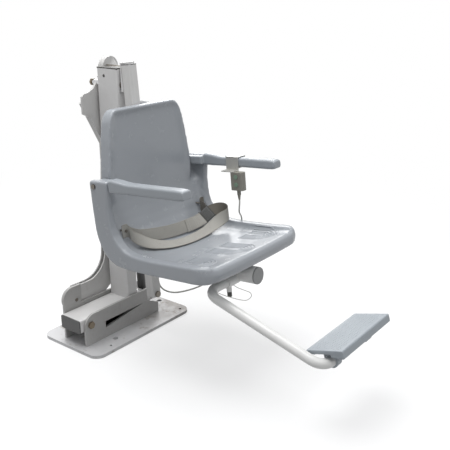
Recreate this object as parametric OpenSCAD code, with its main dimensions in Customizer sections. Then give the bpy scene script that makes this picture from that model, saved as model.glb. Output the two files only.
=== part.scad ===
// Pool lift: a base plate, a lift arm with a levelling link, and a seat on a hanger.
// The sitter faces -Y, the pool lies past the -X end of the base, and +Z is up.
// The origin is the centre of the base plate's underside. All sizes are in millimetres.

/* [Base plate] */
// Length of the plate along X
plate_len = 515; // [480:5:560]
// Width of the plate along Y
plate_wid = 305; // [280:5:340]
// Thickness of the plate
plate_t = 12; // [8:0.5:16]
// Radius of the plate's corners
plate_corner_r = 40; // [20:1:60]
// Radius of the deck anchor holes
anchor_hole_r = 10; // [6:0.5:11]
// Distance from the origin to the rear pair of anchor holes along -X
anchor_rear_x = 113; // [100:1:130]
// Half of the distance between the rear pair of anchor holes along Y
anchor_half_y = 96; // [90:1:110]
// Distance from the origin to the front anchor hole along +X
anchor_front_x = 231; // [222:1:236]
// Radius of the levelling screws' holes
level_hole_r = 5; // [3:0.5:6]

/* [Cheeks] */
// Thickness of each upright cheek
cheek_t = 9.5; // [8:0.5:11]
// Distance from the origin to the cheeks' rear edge along -X
cheek_back_x = 224; // [220:1:235]
// Distance from the origin to the cheeks' front edge along +X
cheek_front_x = 160; // [155:1:175]
// Height of the cheeks' long top edge above the deck
cheek_top_z = 131; // [126:1:138]
// Height of the rear cheek's lug above the deck
lug_top_z = 205; // [198:1:212]
// Distance from the origin to the lug's front edge along -X
lug_front_x = 138; // [132:1:142]
// Radius of the cheeks' rear top corners
cheek_corner_r = 45; // [35:1:50]

/* [Lift arm] */
// Depth of the arm's rectangular tube along Y
arm_tube_y = 101.6; // [99:0.2:104]
// Narrow side of the arm's rectangular tube
arm_tube_n = 50.8; // [46:0.2:52]
// Wall of the arm's tube
arm_wall = 4; // [3:0.25:5]
// Length of the arm's upright tube, the mast
mast_len = 874.6; // [820:0.2:920]
// Distance from the lower pivot to the mast's centre along X
arm_reach_x = 230; // [222:1:238]
// Height of the lower pivot above the deck
pivot_z = 92; // [88:1:96]
// Distance from the mast's top down to the upper pivot
upper_pivot_drop = 55; // [48:1:62]
// How far the beam reaches behind the lower pivot
beam_tail = 40; // [36:1:44]
// Clearance on each side between the beam and the cheeks
beam_side_gap = 1.2; // [0.8:0.1:2]
// Radius of the lower pivot shaft
lift_shaft_r = 10; // [8:0.5:12]
// Radius of the upper pivot shaft
seat_shaft_r = 9; // [7:0.5:10]

/* [Levelling link] */
// Offset of the link's pivots from the arm's pivots along X
link_off_x = 36; // [34:0.5:38]
// Offset of the link's pivots from the arm's pivots along Z
link_off_z = 55; // [53:0.5:58]
// Radius of the link's pivot pins
link_pin_r = 7; // [5:0.5:7.5]
// Depth of the link's tube along Y
link_tube_y = 25.4; // [23:0.2:28]
// Width of the link's tube in the plane it moves in
link_tube_w = 38; // [34:1:42]
// Thickness of the link's plates
link_plate_t = 6; // [5:0.5:8]

/* [Actuator] */
// Radius of the actuator's outer tube
act_tube_r = 17; // [15:0.5:19]
// Radius of the actuator's rod
act_rod_r = 10; // [8:0.5:12]

/* [Hanger] */
// Outer width of the square hanger tube
hanger_w = 40; // [36:0.5:42]
// Length of the hanger tube
hanger_len = 860; // [840:5:880]
// Angle by which the hanger and the seat lean back
lean = 5.2; // [4.6:0.1:5.8]
// Outer radius of the round seat support tube
support_r = 29.5; // [27:0.5:31]

/* [Seat] */
// Overall width of the seat shell
seat_w = 524; // [500:2:550]
// Depth of the seat shell from the hanger to its front edge
seat_depth = 496; // [470:2:520]
// Height of the seat's back above the shell's underside
back_h = 517; // [490:1:540]
// Height of the shell's underside above the deck, before the lean
seat_under_z = 356; // [352:1:364]

/* [Armrests] */
// Length of an armrest ahead of its hinge
armrest_len = 394; // [360:2:420]
// Width of an armrest
armrest_w = 40; // [36:1:44]
// Thickness of an armrest
armrest_t = 34; // [30:1:36]
// Radius of the armrest hinge pins
armrest_pin_r = 6; // [4:0.5:7]

/* [Footrest] */
// Width of the foot pad
pad_w = 305; // [280:5:330]
// Depth of the foot pad
pad_d = 126; // [115:1:140]
// Thickness of the foot pad at its toe edge
pad_t = 26; // [22:0.5:28]
// Outer radius of the footrest tube
foot_tube_r = 16; // [14:0.5:17]
// Wall of the footrest tube
foot_tube_wall = 2.5; // [2:0.25:3]

/* [Hidden] */
$fn = 64;

// One length for the overrun of cuts and one for running clearance
over = 1;
run_gap = 0.05;

// Places that several pieces share
lift_back_x = 198;
lift_x = -lift_back_x;
mast_x = lift_x + arm_reach_x;
beam_top_z = pivot_z + arm_tube_n / 2;
mast_top_z = beam_top_z + mast_len;
upper_z = mast_top_z - upper_pivot_drop;
link_low_x = lift_x + link_off_x;
link_low_z = pivot_z + link_off_z;
link_top_x = mast_x + link_off_x;
link_top_z = upper_z + link_off_z;
cheek_in_y = arm_tube_y / 2 + beam_side_gap;
cheek_out_y = cheek_in_y + cheek_t;

// Helpers
// A round bar along Y, X or Z, from one coordinate to the other
module rod_y(r, a, b) { translate([0, a, 0]) rotate([-90, 0, 0]) cylinder(h = b - a, r = r); }
module rod_x(r, a, b) { translate([a, 0, 0]) rotate([0, 90, 0]) cylinder(h = b - a, r = r); }
module rod_z(r, a, b) { translate([0, 0, a]) cylinder(h = b - a, r = r); }
// A flat outline drawn in X and Z, with its thickness along Y
module slab_xz(a, b) { translate([0, b, 0]) rotate([90, 0, 0]) linear_extrude(b - a) children(); }
// A flat outline drawn in Y and Z, with its thickness along X
module slab_yz(a, b) { translate([a, 0, 0]) rotate([90, 0, 90]) linear_extrude(b - a) children(); }
// A block between two corners
module block(p, q) { translate(p) cube(q - p); }
// A block with its four upright edges rounded
module round_block(p, q, r) {
  block([p[0] + r, p[1], p[2]], [q[0] - r, q[1], q[2]]);
  block([p[0], p[1] + r, p[2]], [q[0], q[1] - r, q[2]]);
  for (x = [p[0] + r, q[0] - r], y = [p[1] + r, q[1] - r])
    translate([x, y, p[2]]) cylinder(h = q[2] - p[2], r = r);
}
// A straight blend of two values or points
function mix(a, b, t) = a + (b - a) * t;
// A value kept between nought and one
function clip(t) = max(0, min(1, t));
// A smooth step of a value kept between nought and one
function ease(t) = clip(t) * clip(t) * (3 - 2 * clip(t));
// Look a value up in a table of pairs, in straight steps
function look(t, rows, i = 0) =
  t <= rows[0][0] ? rows[0][1]
  : i >= len(rows) - 1 ? rows[len(rows) - 1][1]
  : t < rows[i + 1][0]
    ? mix(rows[i][1], rows[i + 1][1], (t - rows[i][0]) / (rows[i + 1][0] - rows[i][0]))
  : look(t, rows, i + 1);
// A closed solid through a row of rings that have equal counts of points
module loft(rings) {
  n = len(rings[0]);
  m = len(rings);
  pts = [for (r = rings) for (p = r) p];
  sides = [for (i = [0:m - 2]) for (j = [0:n - 1]) let (k = (j + 1) % n)
    each [[i * n + j, i * n + k, (i + 1) * n + k], [i * n + j, (i + 1) * n + k, (i + 1) * n + j]]];
  // Each end is closed by a strip of triangles, so an end may be a bent band
  ends = [for (i = [0:ceil(n / 2) - 2]) each concat([[i, i + 1, n - 1 - i]],
    i + 1 < n - 2 - i ? [[i + 1, n - 2 - i, n - 1 - i]] : [])];
  first = [for (t = ends) [t[2], t[1], t[0]]];
  last = [for (t = ends) [for (j = t) (m - 1) * n + j]];
  polyhedron(points = pts, faces = concat(sides, first, last), convexity = 6);
}

// Base body
module base_plate() {
  color("silver") difference() {
    translate([-plate_len / 2, -plate_wid / 2, 0])
      round_block([0, 0, 0], [plate_len, plate_wid, plate_t], plate_corner_r);
    for (y = [-anchor_half_y, anchor_half_y])
      translate([-anchor_rear_x, y, 0]) rod_z(anchor_hole_r, -over, plate_t + over);
    translate([anchor_front_x, 0, 0]) rod_z(anchor_hole_r, -over, plate_t + over);
    for (x = [-level_rear_x, level_front_x], y = [-level_half_y, level_half_y])
      translate([x, y, 0]) rod_z(level_hole_r, -over, plate_t + over);
  }
}

// Places of the levelling screws, the cheeks' window and its bolt
level_rear_x = 162;
level_front_x = 225;
level_half_y = 122;
strap_front_x = 100;
strap_under_z = 79;
toe_front_z = 52;
window_back_x = 126;
window_top_z = 78;
window_low_z = 52;
window_tip_x = 72;
lug_corner_r = 45;

// The outline of a cheek up to its long top edge
module cheek_outline() {
  difference() {
    union() {
      translate([-cheek_back_x, plate_t])
        square([cheek_back_x + strap_front_x, cheek_top_z - plate_t]);
      polygon([[strap_front_x - over, plate_t], [cheek_front_x, plate_t],
        [cheek_front_x, toe_front_z], [strap_front_x - over, strap_under_z]]);
    }
    polygon([[-window_back_x, window_low_z], [window_tip_x, window_top_z],
      [-window_back_x, window_top_z]]);
  }
}
// The part that rounds a rear top corner off
module corner_cut(x, z, r) {
  difference() {
    translate([x - over, z - r]) square([r + over, r + over]);
    translate([x + r, z - r]) circle(r = r);
  }
}
module near_cheek() {
  color("gainsboro") difference() {
    slab_xz(-cheek_out_y, -cheek_in_y) difference() {
      cheek_outline();
      corner_cut(-cheek_back_x, cheek_top_z, cheek_corner_r);
    }
    translate([lift_x, 0, pivot_z]) rod_y(lift_shaft_r + run_gap, -cheek_out_y - over, 0);
  }
}
module rear_cheek() {
  color("gainsboro") difference() {
    slab_xz(cheek_in_y, cheek_out_y) difference() {
      union() {
        cheek_outline();
        translate([-cheek_back_x, plate_t])
          square([cheek_back_x - lug_front_x, lug_top_z - plate_t]);
      }
      corner_cut(-cheek_back_x, lug_top_z, lug_corner_r);
    }
    translate([lift_x, 0, pivot_z]) rod_y(lift_shaft_r + run_gap, 0, cheek_out_y + over);
    translate([link_low_x, 0, link_low_z]) rod_y(link_pin_r, 0, cheek_out_y + over);
  }
}
// A rubber block between the plate and the beam takes the arm's rest
rest_x0 = -20;
rest_x1 = 40;
rest_half_y = 30;
module beam_rest() {
  color("dimgray") block([rest_x0, -rest_half_y, plate_t],
    [rest_x1, rest_half_y, pivot_z - arm_tube_n / 2]);
}
// Shaft across both cheeks, with a nut outside each
nut_t = 8;
nut_over = 4;
module lift_pivot_shaft() {
  color("silver") translate([lift_x, 0, pivot_z])
    rod_y(lift_shaft_r, -cheek_out_y, cheek_out_y);
}
module nut_shape(r, a, b) {
  translate([0, a, 0]) rotate([-90, 0, 0]) cylinder(h = b - a, r = r, $fn = 6);
}
module lift_pivot_nuts() {
  color("darkgoldenrod") translate([lift_x, 0, pivot_z]) {
    nut_shape(lift_shaft_r + nut_over, -cheek_out_y - nut_t, -cheek_out_y);
    nut_shape(lift_shaft_r + nut_over, cheek_out_y, cheek_out_y + nut_t);
  }
}

// Arm body
// The actuator's lower pivot, seen from the origin, in the beam's open end
act_low_x = 134;
act_low_z = 85;
beam_front_x = 158;
beam_slot_x = 104;
act_pin_r = 6;
beam_corner_r = 6;
// A rectangular tube along X with rounded long edges
module tube_section_yz(hy, hz, r) {
  difference() {
    translate([-hy, -hz]) square([2 * hy, 2 * hz]);
    for (sy = [-1, 1], sz = [-1, 1]) translate([sy * hy, sz * hz]) difference() {
      translate([sy > 0 ? -r : -over, sz > 0 ? -r : -over]) square([r + over, r + over]);
      translate([-sy * r, -sz * r]) circle(r = r);
    }
  }
}
module arm_beam() {
  hy = arm_tube_y / 2;
  hz = arm_tube_n / 2;
  color("whitesmoke") difference() {
    translate([0, 0, pivot_z]) slab_yz(lift_x - beam_tail, beam_front_x)
      tube_section_yz(hy, hz, beam_corner_r);
    translate([0, 0, pivot_z])
      slab_yz(lift_x - beam_tail - over, beam_front_x + over)
      square([arm_tube_y - 2 * arm_wall, arm_tube_n - 2 * arm_wall], center = true);
    block([beam_slot_x, -hy + arm_wall, pivot_z], [beam_front_x + over, hy - arm_wall, beam_top_z + over]);
    translate([lift_x, 0, pivot_z]) rod_y(lift_bush_r, -hy - over, hy + over);
    translate([act_low_x, 0, act_low_z]) rod_y(act_pin_r, -hy - over, hy + over);
  }
}
lift_bush_r = 16;
module lift_bush() {
  hy = arm_tube_y / 2;
  color("darkgoldenrod") translate([lift_x, 0, pivot_z]) difference() {
    rod_y(lift_bush_r, -hy, hy);
    rod_y(lift_shaft_r + run_gap, -hy - over, hy + over);
  }
}
cap_t = 5;
cap_lip = 3;
module beam_end_cap() {
  hy = arm_tube_y / 2;
  hz = arm_tube_n / 2;
  x = lift_x - beam_tail;
  color("dimgray") translate([0, 0, pivot_z]) {
    slab_yz(x - cap_t, x) tube_section_yz(hy, hz, beam_corner_r);
    slab_yz(x, x + cap_lip)
      square([arm_tube_y - 2 * arm_wall, arm_tube_n - 2 * arm_wall], center = true);
  }
}
mast_hole_y = 15;
mast_hole_drop = 25;
mast_hole_r = 4;
module arm_mast() {
  hx = arm_tube_n / 2;
  hy = arm_tube_y / 2;
  color("whitesmoke") difference() {
    translate([mast_x, 0, beam_top_z]) linear_extrude(mast_len)
      tube_section_yz(hx, hy, beam_corner_r);
    translate([mast_x, 0, beam_top_z - over]) linear_extrude(mast_len + 2 * over)
      square([arm_tube_n - 2 * arm_wall, arm_tube_y - 2 * arm_wall], center = true);
    translate([mast_x, 0, upper_z]) rod_y(mast_bush_r, -hy - over, hy + over);
    translate([0, mast_hole_y, mast_top_z - mast_hole_drop])
      rod_x(mast_hole_r, mast_x - hx - over, mast_x);
  }
}
mast_bush_r = 14;
mast_bush_out = 2;
module mast_bush() {
  hy = arm_tube_y / 2;
  color("darkgoldenrod") translate([mast_x, 0, upper_z]) difference() {
    rod_y(mast_bush_r, -hy - mast_bush_out, hy + mast_bush_out);
    rod_y(seat_shaft_r + run_gap, -hy - mast_bush_out - over, hy + mast_bush_out + over);
  }
}
module actuator_pin() {
  hy = arm_tube_y / 2;
  color("dimgray") translate([act_low_x, 0, act_low_z]) {
    rod_y(act_pin_r, -hy, hy);
    rod_y(act_pin_r + nut_over, -hy - pin_head_t, -hy);
    rod_y(act_pin_r + nut_over, hy, hy + pin_head_t);
  }
}
pin_head_t = 1;

// Link body
link_gap = 1.5;
link_y0 = cheek_out_y + link_gap;
link_y1 = link_y0 + link_tube_y;
jaw_r = 45;
arc_cx = -92;
arc_cz = 292;
arc_r = 185;
arc_w = 90;
jaw_end_z = 650;
neck_x0 = 31;
link_bend_z = 715;
// The lower plates: a round end at the pivot, a quarter bend, and a long taper up
module jaw_outline() {
  ri = arc_r - arc_w;
  difference() {
    union() {
      translate([link_low_x, link_low_z]) circle(r = jaw_r);
      translate([link_low_x, arc_cz - arc_r]) square([arc_cx - link_low_x, arc_w]);
      intersection() {
        difference() {
          translate([arc_cx, arc_cz]) circle(r = arc_r);
          translate([arc_cx, arc_cz]) circle(r = ri);
        }
        translate([arc_cx, arc_cz - arc_r]) square([arc_r, arc_r]);
      }
      polygon([[arc_cx + ri, arc_cz], [arc_cx + arc_r, arc_cz],
        [neck_x0 + link_tube_w, jaw_end_z], [neck_x0, jaw_end_z]]);
    }
  }
}
spigot_len = 60;
spigot_down = 90;
module link_plates() {
  mid = (link_y0 + link_y1) / 2;
  xs0 = neck_x0 + link_wall;
  xs1 = neck_x0 + link_tube_w - link_wall;
  color("lightgray") difference() {
    union() {
      slab_xz(link_y0, link_y0 + link_plate_t) jaw_outline();
      slab_xz(link_y1 - link_plate_t, link_y1) jaw_outline();
      block([xs0, link_y0 + link_wall, jaw_end_z - spigot_down],
        [xs1, link_y1 - link_wall, jaw_end_z + spigot_len]);
      translate([link_low_x, 0, link_low_z]) rod_y(link_boss_r, link_y0, link_y1);
    }
    translate([link_low_x, 0, link_low_z]) rod_y(link_pin_r + run_gap, 0, link_y1 + over);
  }
}
link_wall = 3;
link_boss_r = 20;
diag_rise = 0.883;
diag_run = 0.469;
diag_len = 185;
// The centre line bends up and back over the mast's back
function diag_pt(s) = [neck_x0 + link_tube_w / 2 - diag_run * s, link_bend_z + diag_rise * s];
module link_tube_outline(w, extra) {
  xc = neck_x0 + link_tube_w / 2;
  c = [xc, link_bend_z];
  e = diag_pt(diag_len + extra);
  n = [diag_rise, diag_run] * (w / 2);
  translate([xc - w / 2, jaw_end_z - extra]) square([w, link_bend_z - jaw_end_z + extra]);
  polygon([c - n, c + n, e + n, e - n]);
  translate(c) circle(r = w / 2);
}
module link_tube() {
  color("lightgray") difference() {
    slab_xz(link_y0, link_y1) link_tube_outline(link_tube_w, 0);
    slab_xz(link_y0 + link_wall, link_y1 - link_wall)
      link_tube_outline(link_tube_w - 2 * link_wall, over);
    slab_xz(link_y0 - over, link_y0 + head_plate_t) head_outline();
  }
}
head_plate_t = 8;
head_r = 37;
head_dx = 19;
head_dz = -2;
head_h = 200;
slot_clear = 2;
slot_start = 120;
slot_end = 250;
slot_turn = 70;
// Points of the lobe, the pocket and the neck, as shares of the plate's height,
// seen from the upper link pivot
lobe_shares = [[-0.635, -0.795], [-0.635, -0.485], [-0.59, -0.445], [-0.475, -0.425],
  [-0.36, -0.365], [-0.295, -0.29], [-0.09, 0], [0.275, 0], [0.235, -0.21],
  [0.1, -0.435], [-0.01, -0.735], [-0.12, -1], [-0.24, -1.05], [-0.45, -0.885]];
// The head plate: a lobe past the tube, a round pocket, and a neck up to the head
module head_outline() {
  slot_r = norm([link_off_x, link_off_z]);
  slot_w = seat_shaft_r + slot_clear;
  translate([link_top_x, link_top_z]) difference() {
    union() {
      polygon(lobe_shares * head_h);
      translate([head_dx, head_dz]) circle(r = head_r);
    }
    difference() {
      circle(r = slot_r + slot_w);
      circle(r = slot_r - slot_w);
      for (k = [0:2])
        rotate(slot_end + k * slot_turn) square([slot_r * 2, slot_r * 2]);
    }
  }
}
module link_head_plate() {
  color("lightgray") difference() {
    slab_xz(link_y0, link_y0 + head_plate_t) head_outline();
    translate([link_top_x, 0, link_top_z]) rod_y(link_pin_r + run_gap, 0, link_y1);
  }
}
module link_head_boss() {
  color("lightgray") difference() {
    translate([link_top_x + head_dx, 0, link_top_z + head_dz])
      rod_y(head_r, link_y0 + head_plate_t, link_y1);
    translate([link_top_x, 0, link_top_z]) rod_y(link_pin_r + run_gap, 0, link_y1 + over);
  }
}
module link_pivot_pin() {
  color("dimgray") translate([link_low_x, 0, link_low_z]) {
    rod_y(link_pin_r, cheek_in_y, link_y1 + pin_collar_gap);
    rod_y(link_pin_r + nut_over, link_y1 + pin_collar_gap, link_y1 + pin_collar_gap + nut_t);
  }
}
pin_collar_gap = 0.3;

// The actuator's upper pivot sits in a fork that the link carries in front of the mast
act_top_x = 95;
act_top_z = 670;
fork_half_y = 14;
fork_t = 6;
fork_bridge_up = 28;
fork_side = 16;
fork_drop = 18;
module actuator_bracket() {
  x0 = neck_x0 + link_tube_w;
  z1 = act_top_z + fork_bridge_up;
  color("lightgray") {
    block([x0, link_y0, act_top_z - fork_drop], [x0 + fork_t, link_y1, z1 + fork_t]);
    block([x0, -fork_half_y - fork_t, z1], [act_top_x + fork_side, link_y1, z1 + fork_t]);
    for (s = [-1, 1]) {
      y0 = s > 0 ? fork_half_y : -fork_half_y - fork_t;
      block([act_top_x - fork_side, y0, act_top_z], [act_top_x + fork_side, y0 + fork_t, z1]);
      translate([act_top_x, 0, act_top_z]) rod_y(fork_side, y0, y0 + fork_t);
    }
    translate([act_top_x, 0, act_top_z]) {
      rod_y(act_pin_r + nut_over, -fork_half_y - 2 * fork_t, -fork_half_y - fork_t);
      rod_y(act_pin_r + nut_over, fork_half_y + fork_t, fork_half_y + 2 * fork_t);
    }
  }
}
act_dx = act_low_x - act_top_x;
act_dz = act_top_z - act_low_z;
act_len = norm([act_dx, act_dz]);
act_tilt = atan2(act_dx, act_dz);
act_eye_r = 14;
act_eye_y = 11;
act_body_len = 330;
act_bore_floor = 28;
act_rod_in = 150;
act_gland_t = 12;
act_gland_over = 2;
module act_frame() { translate([act_low_x, 0, act_low_z]) rotate([0, -act_tilt, 0]) children(); }
module actuator_body() {
  color("silver") act_frame() difference() {
    union() {
      rod_y(act_eye_r, -act_eye_y, act_eye_y);
      block([-act_eye_r, -act_eye_y, 0], [act_eye_r, act_eye_y, act_bore_floor]);
      rod_z(act_tube_r, act_bore_floor - act_gland_t, act_body_len);
      rod_z(act_tube_r + act_gland_over, act_body_len - act_gland_t, act_body_len);
    }
    rod_y(act_pin_r + run_gap, -act_eye_y - over, act_eye_y + over);
    rod_z(act_rod_r + run_gap, act_bore_floor, act_body_len + over);
  }
}
module actuator_rod() {
  color("silver") act_frame() difference() {
    union() {
      rod_z(act_rod_r, act_rod_in, act_len);
      translate([0, 0, act_len]) rod_y(act_eye_r, -act_eye_y, act_eye_y);
    }
    translate([0, 0, act_len]) rod_y(act_pin_r, -act_eye_y - over, act_eye_y + over);
  }
}

// Hanger body: everything below leans back with the seat
hang_off_x = 4;
hang_x = mast_x + hang_off_x;
hang_y = -83;
hang_top_gap = 8;
hang_top_z = mast_top_z + hang_top_gap;
module seat_frame() {
  translate([hang_x, hang_y, hang_top_z]) rotate([-lean, 0, 0])
    translate([0, -hang_y, -hang_top_z]) children();
}
hang_y0 = hang_y - hanger_w / 2;
hang_y1 = hang_y + hanger_w / 2;
hang_up = 8;
hang_z1 = hang_top_z + hang_up;
hang_z0 = hang_z1 - hanger_len;
hang_corner_r = 5;
hang_wall = 3;
bolt_up = 10;
hang_bolt_r = 12;
hang_bolt_t = 6;
module hanger_tube() {
  color("whitesmoke") seat_frame() translate([0, hang_y, hang_z0]) difference() {
    linear_extrude(hanger_len) tube_section_yz(hanger_w / 2, hanger_w / 2, hang_corner_r);
    translate([0, 0, hang_wall]) linear_extrude(hanger_len)
      square(hanger_w - 2 * hang_wall, center = true);
  }
}
module hanger_cap() {
  color("dimgray") seat_frame() translate([0, hang_y, hang_z1]) {
    linear_extrude(cap_lip) tube_section_yz(hanger_w / 2, hanger_w / 2, hang_corner_r);
    translate([0, 0, -cap_t]) linear_extrude(cap_t)
      square(hanger_w - 2 * hang_wall, center = true);
  }
}
module hanger_bolt() {
  color("dimgray") seat_frame() translate([0, 0, hang_z0 + bolt_up])
    rod_y(hang_bolt_r, hang_y0 - hang_bolt_t, hang_y0);
}
// A plate beside the mast holds the upper shaft and the link's upper pin
crank_y1 = -55;
crank_t = 6;
crank_x0 = 20;
crank_x1 = 85;
crank_down = 22;
crank_up = 23;
module pivot_bracket() {
  z0 = upper_z - crank_down;
  z1 = link_top_z + crank_up;
  color("lightgray") {
    difference() {
      block([crank_x0, crank_y1 - crank_t, z0], [crank_x1, crank_y1, z1]);
      translate([mast_x, 0, upper_z]) rod_y(seat_shaft_r, crank_y1 - crank_t - over, crank_y1 + over);
      translate([link_top_x, 0, link_top_z])
        rod_y(link_pin_r, crank_y1 - crank_t - over, crank_y1 + over);
    }
    difference() {
      block([hang_x - hanger_w / 2, hang_y + crank_t, z0],
        [hang_x + hanger_w / 2, crank_y1 - crank_t, hang_z1 - crank_t]);
      seat_frame() block([-hanger_w, hang_y - hanger_w, hang_z0],
        [hanger_w, hang_y1, hang_z1 + hanger_w]);
      translate([mast_x, 0, upper_z]) rod_y(seat_shaft_r + nut_over, hang_y, crank_y1 - crank_t);
    }
  }
}
module hanger_shaft() {
  color("silver") translate([mast_x, 0, upper_z])
    rod_y(seat_shaft_r, crank_y1 - crank_t, shaft_end_y);
}
shaft_end_y = 100;
module hanger_shaft_nut() {
  color("darkgoldenrod") translate([mast_x, 0, upper_z])
    nut_shape(seat_shaft_r + nut_over, shaft_end_y, shaft_end_y + nut_t);
}
module link_top_pin() {
  color("dimgray") translate([link_top_x, 0, link_top_z]) {
    rod_y(link_pin_r, crank_y1 - crank_t, link_y1 + pin_collar_gap);
    rod_y(link_pin_r + nut_over, link_y1 + pin_collar_gap, link_y1 + pin_collar_gap + nut_t);
  }
}
// The round tube under the seat, its cap, and the rails that carry the shell
support_z = 311;
support_y0 = -578;
support_wall = 4;
support_cap_t = 6;
rail_ys = [-180, -330, -480];
rail_w = 30;
rail_half_x = 150;
rail_t = 8;
module seat_tube() {
  color("whitesmoke") seat_frame() translate([0, 0, support_z]) difference() {
    rod_y(support_r, support_y0, hang_y0);
    rod_y(support_r - support_wall, support_y0 - over, hang_y0 - support_wall);
  }
}
module seat_tube_cap() {
  color("gainsboro") seat_frame() translate([0, 0, support_z]) {
    rod_y(support_r, support_y0 - support_cap_t, support_y0);
    rod_y(support_r - support_wall, support_y0, support_y0 + support_cap_t);
  }
}
module seat_rails() {
  z1 = seat_under_z;
  color("dimgray") seat_frame() for (y = rail_ys) difference() {
    union() {
      block([-rail_half_x, y - rail_w / 2, z1 - rail_t], [rail_half_x, y + rail_w / 2, z1]);
      block([-support_r, y - rail_w / 2, support_z], [support_r, y + rail_w / 2, z1]);
    }
    translate([0, 0, support_z]) rod_y(support_r, y - rail_w, y + rail_w);
  }
}

// Seat shell
// Each row holds shares of the seat's depth and of the back's height. The rows run from
// the foot of the back, round the bend, along the pan and over the front edge.
pan_shares = [[0.0726, 0.3946], [0.0786, 0.327], [0.0927, 0.259], [0.119, 0.197],
  [0.159, 0.143], [0.22, 0.101], [0.306, 0.0735], [0.417, 0.062], [0.558, 0.058],
  [0.7, 0.062], [0.82, 0.0716], [0.911, 0.085], [0.962, 0.093], [0.988, 0.082],
  [1, 0.05], [0.99, 0.008], [0.965, 0]];
rim_shares = [[0.159, 0.3946], [0.159, 0.317], [0.163, 0.269], [0.177, 0.2205],
  [0.208, 0.176], [0.256, 0.137], [0.327, 0.114], [0.427, 0.1045], [0.558, 0.1025],
  [0.7, 0.1045], [0.82, 0.1065], [0.911, 0.11], [0.962, 0.112], [0.988, 0.1],
  [1, 0.06], [0.99, 0.012], [0.965, 0]];
rear_shares = [[0, 0.3946], [0, 0.317], [0, 0.259], [0.008, 0.201], [0.028, 0.143],
  [0.06, 0.093], [0.105, 0.05], [0.167, 0.019], [0.27, 0.004], [0.42, 0], [0.58, 0],
  [0.74, 0], [0.88, 0]];
// Half widths of the back against height, and of the flat panel along the rows, as
// shares of half the seat's width
top_shares = [[0.546, 1], [0.592, 0.99], [0.622, 0.975], [0.653, 0.952], [0.679, 0.923],
  [0.702, 0.87], [0.725, 0.816], [0.752, 0.723], [0.781, 0.617], [0.786, 0.58]];
crease_shares = [0.78, 0.72, 0.655, 0.6, 0.57, 0.59, 0.65, 0.7, 0.73, 0.74, 0.745, 0.75,
  0.75, 0.75, 0.75, 0.75, 0.75];
inner_shares = [0.9, 0.885, 0.87, 0.865, 0.862, 0.862, 0.862, 0.862, 0.862, 0.862, 0.862,
  0.862, 0.862, 0.862, 0.862, 0.862, 0.862];
// The front edge's plan curve: how far each width stays behind the foremost point
front_shares = [[0, 0], [0.5, 0.004], [0.8, 0.014], [0.9, 0.03], [0.96, 0.06],
  [0.99, 0.095], [1, 0.12]];
ear_top_share = 0.578;
pocket_top_share = 0.472;
pocket_in_share = 0.792;
pocket_out_share = 0.902;
ear_front_share = 0.175;
wall_share = 0.03;
foot_share = 0.3946;
rim_lift = 9;
rim_width = 18;
shell_edge = 7;
station_shares = [0, 0.2, 0.4, 0.546, 0.592, 0.622, 0.653, 0.679, 0.702, 0.725, 0.752,
  0.781, 0.787, 0.795, 0.82, 0.85, 0.866, 0.88, 0.898, 0.904, 0.91, 0.95, 0.985, 1];

// Height of the section's top edge at a share of the half width
function top_of(u) =
  u > pocket_out_share ? ear_top_share
  : u > pocket_in_share ? pocket_top_share
  : look(u, top_shares);
// How far the surface at a row has risen from the panel to the rim
function rise_of(u, i) =
  let (t = (u - crease_shares[i]) / (inner_shares[i] - crease_shares[i]))
  t <= 0 ? 0 : t >= 1 ? 1 : 0.55 * t * t;
function sit_of(u, i) = mix(pan_shares[i], rim_shares[i], rise_of(u, i));
// Depth of the upright part at a share of the height
function upright(u, v) =
  u > pocket_out_share ? mix(rim_shares[0][0], ear_front_share, clip((v - foot_share) / 0.12))
  : u > pocket_in_share ? mix(sit_of(u, 0)[0], wall_share, clip((v - foot_share) / 0.06))
  : sit_of(u, 0)[0] + rim_lift / seat_depth * rim_mask(u, v);
// One where the back's raised border runs, nought on its sunk panel
function rim_mask(u, v) =
  let (edge = half_at(v) - rim_width / (seat_w / 2))
  max(clip((u - edge) * 12 + 0.5), clip((v - 0.962) * 60))
  * clip((v - foot_share) / 0.1);
// Half width of the back at a share of the height
function half_at(v) = look(-v, [for (p = top_rows) p]);
top_rows = [for (p = top_shares) [-p[1], p[0]]];
function place(p) = [hang_y0 - p[0] * seat_depth, seat_under_z + p[1] * back_h];
// One closed outline in Y and Z: down the sitting side, round the front, and up the rear
function section(u) =
  let (top = top_of(u), e = shell_edge / back_h, f = shell_edge / seat_depth,
    q = look(u, front_shares), b = u > 0.97 ? (u - 0.97) / 0.03 : 0,
    vs = [top - e * 0.35, top - e, top - 2.6 * e, top - 3.4 * e],
    vr = [for (k = [1:3]) mix(top - 3.4 * e, foot_share, k / 4)],
    head = [[upright(u, top) - f, top], [upright(u, vs[0]) - f * 0.3, vs[0]],
      for (k = [1:3]) [upright(u, vs[k]), vs[k]], for (v = vr) [upright(u, v), v]],
    front = [for (i = [0:len(pan_shares) - 1]) sit_of(u, i)],
    rear = [for (i = [len(rear_shares) - 1:-1:0]) rear_shares[i]],
    up = [for (k = [1:3]) [0, mix(foot_share, top, k / 4)], [0, top - e], [f * 0.7, top]],
    all = concat(head, front, rear, up),
    mid = [for (p = all) [p[0] * (1 - q * clip((p[0] - 0.3) / 0.7)), p[1]]])
  [for (p = mid) place(mix(p, [mix(p[0], ear_mid(p)[0], 1), ear_mid(p)[1]], b * 0.1))];
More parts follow.
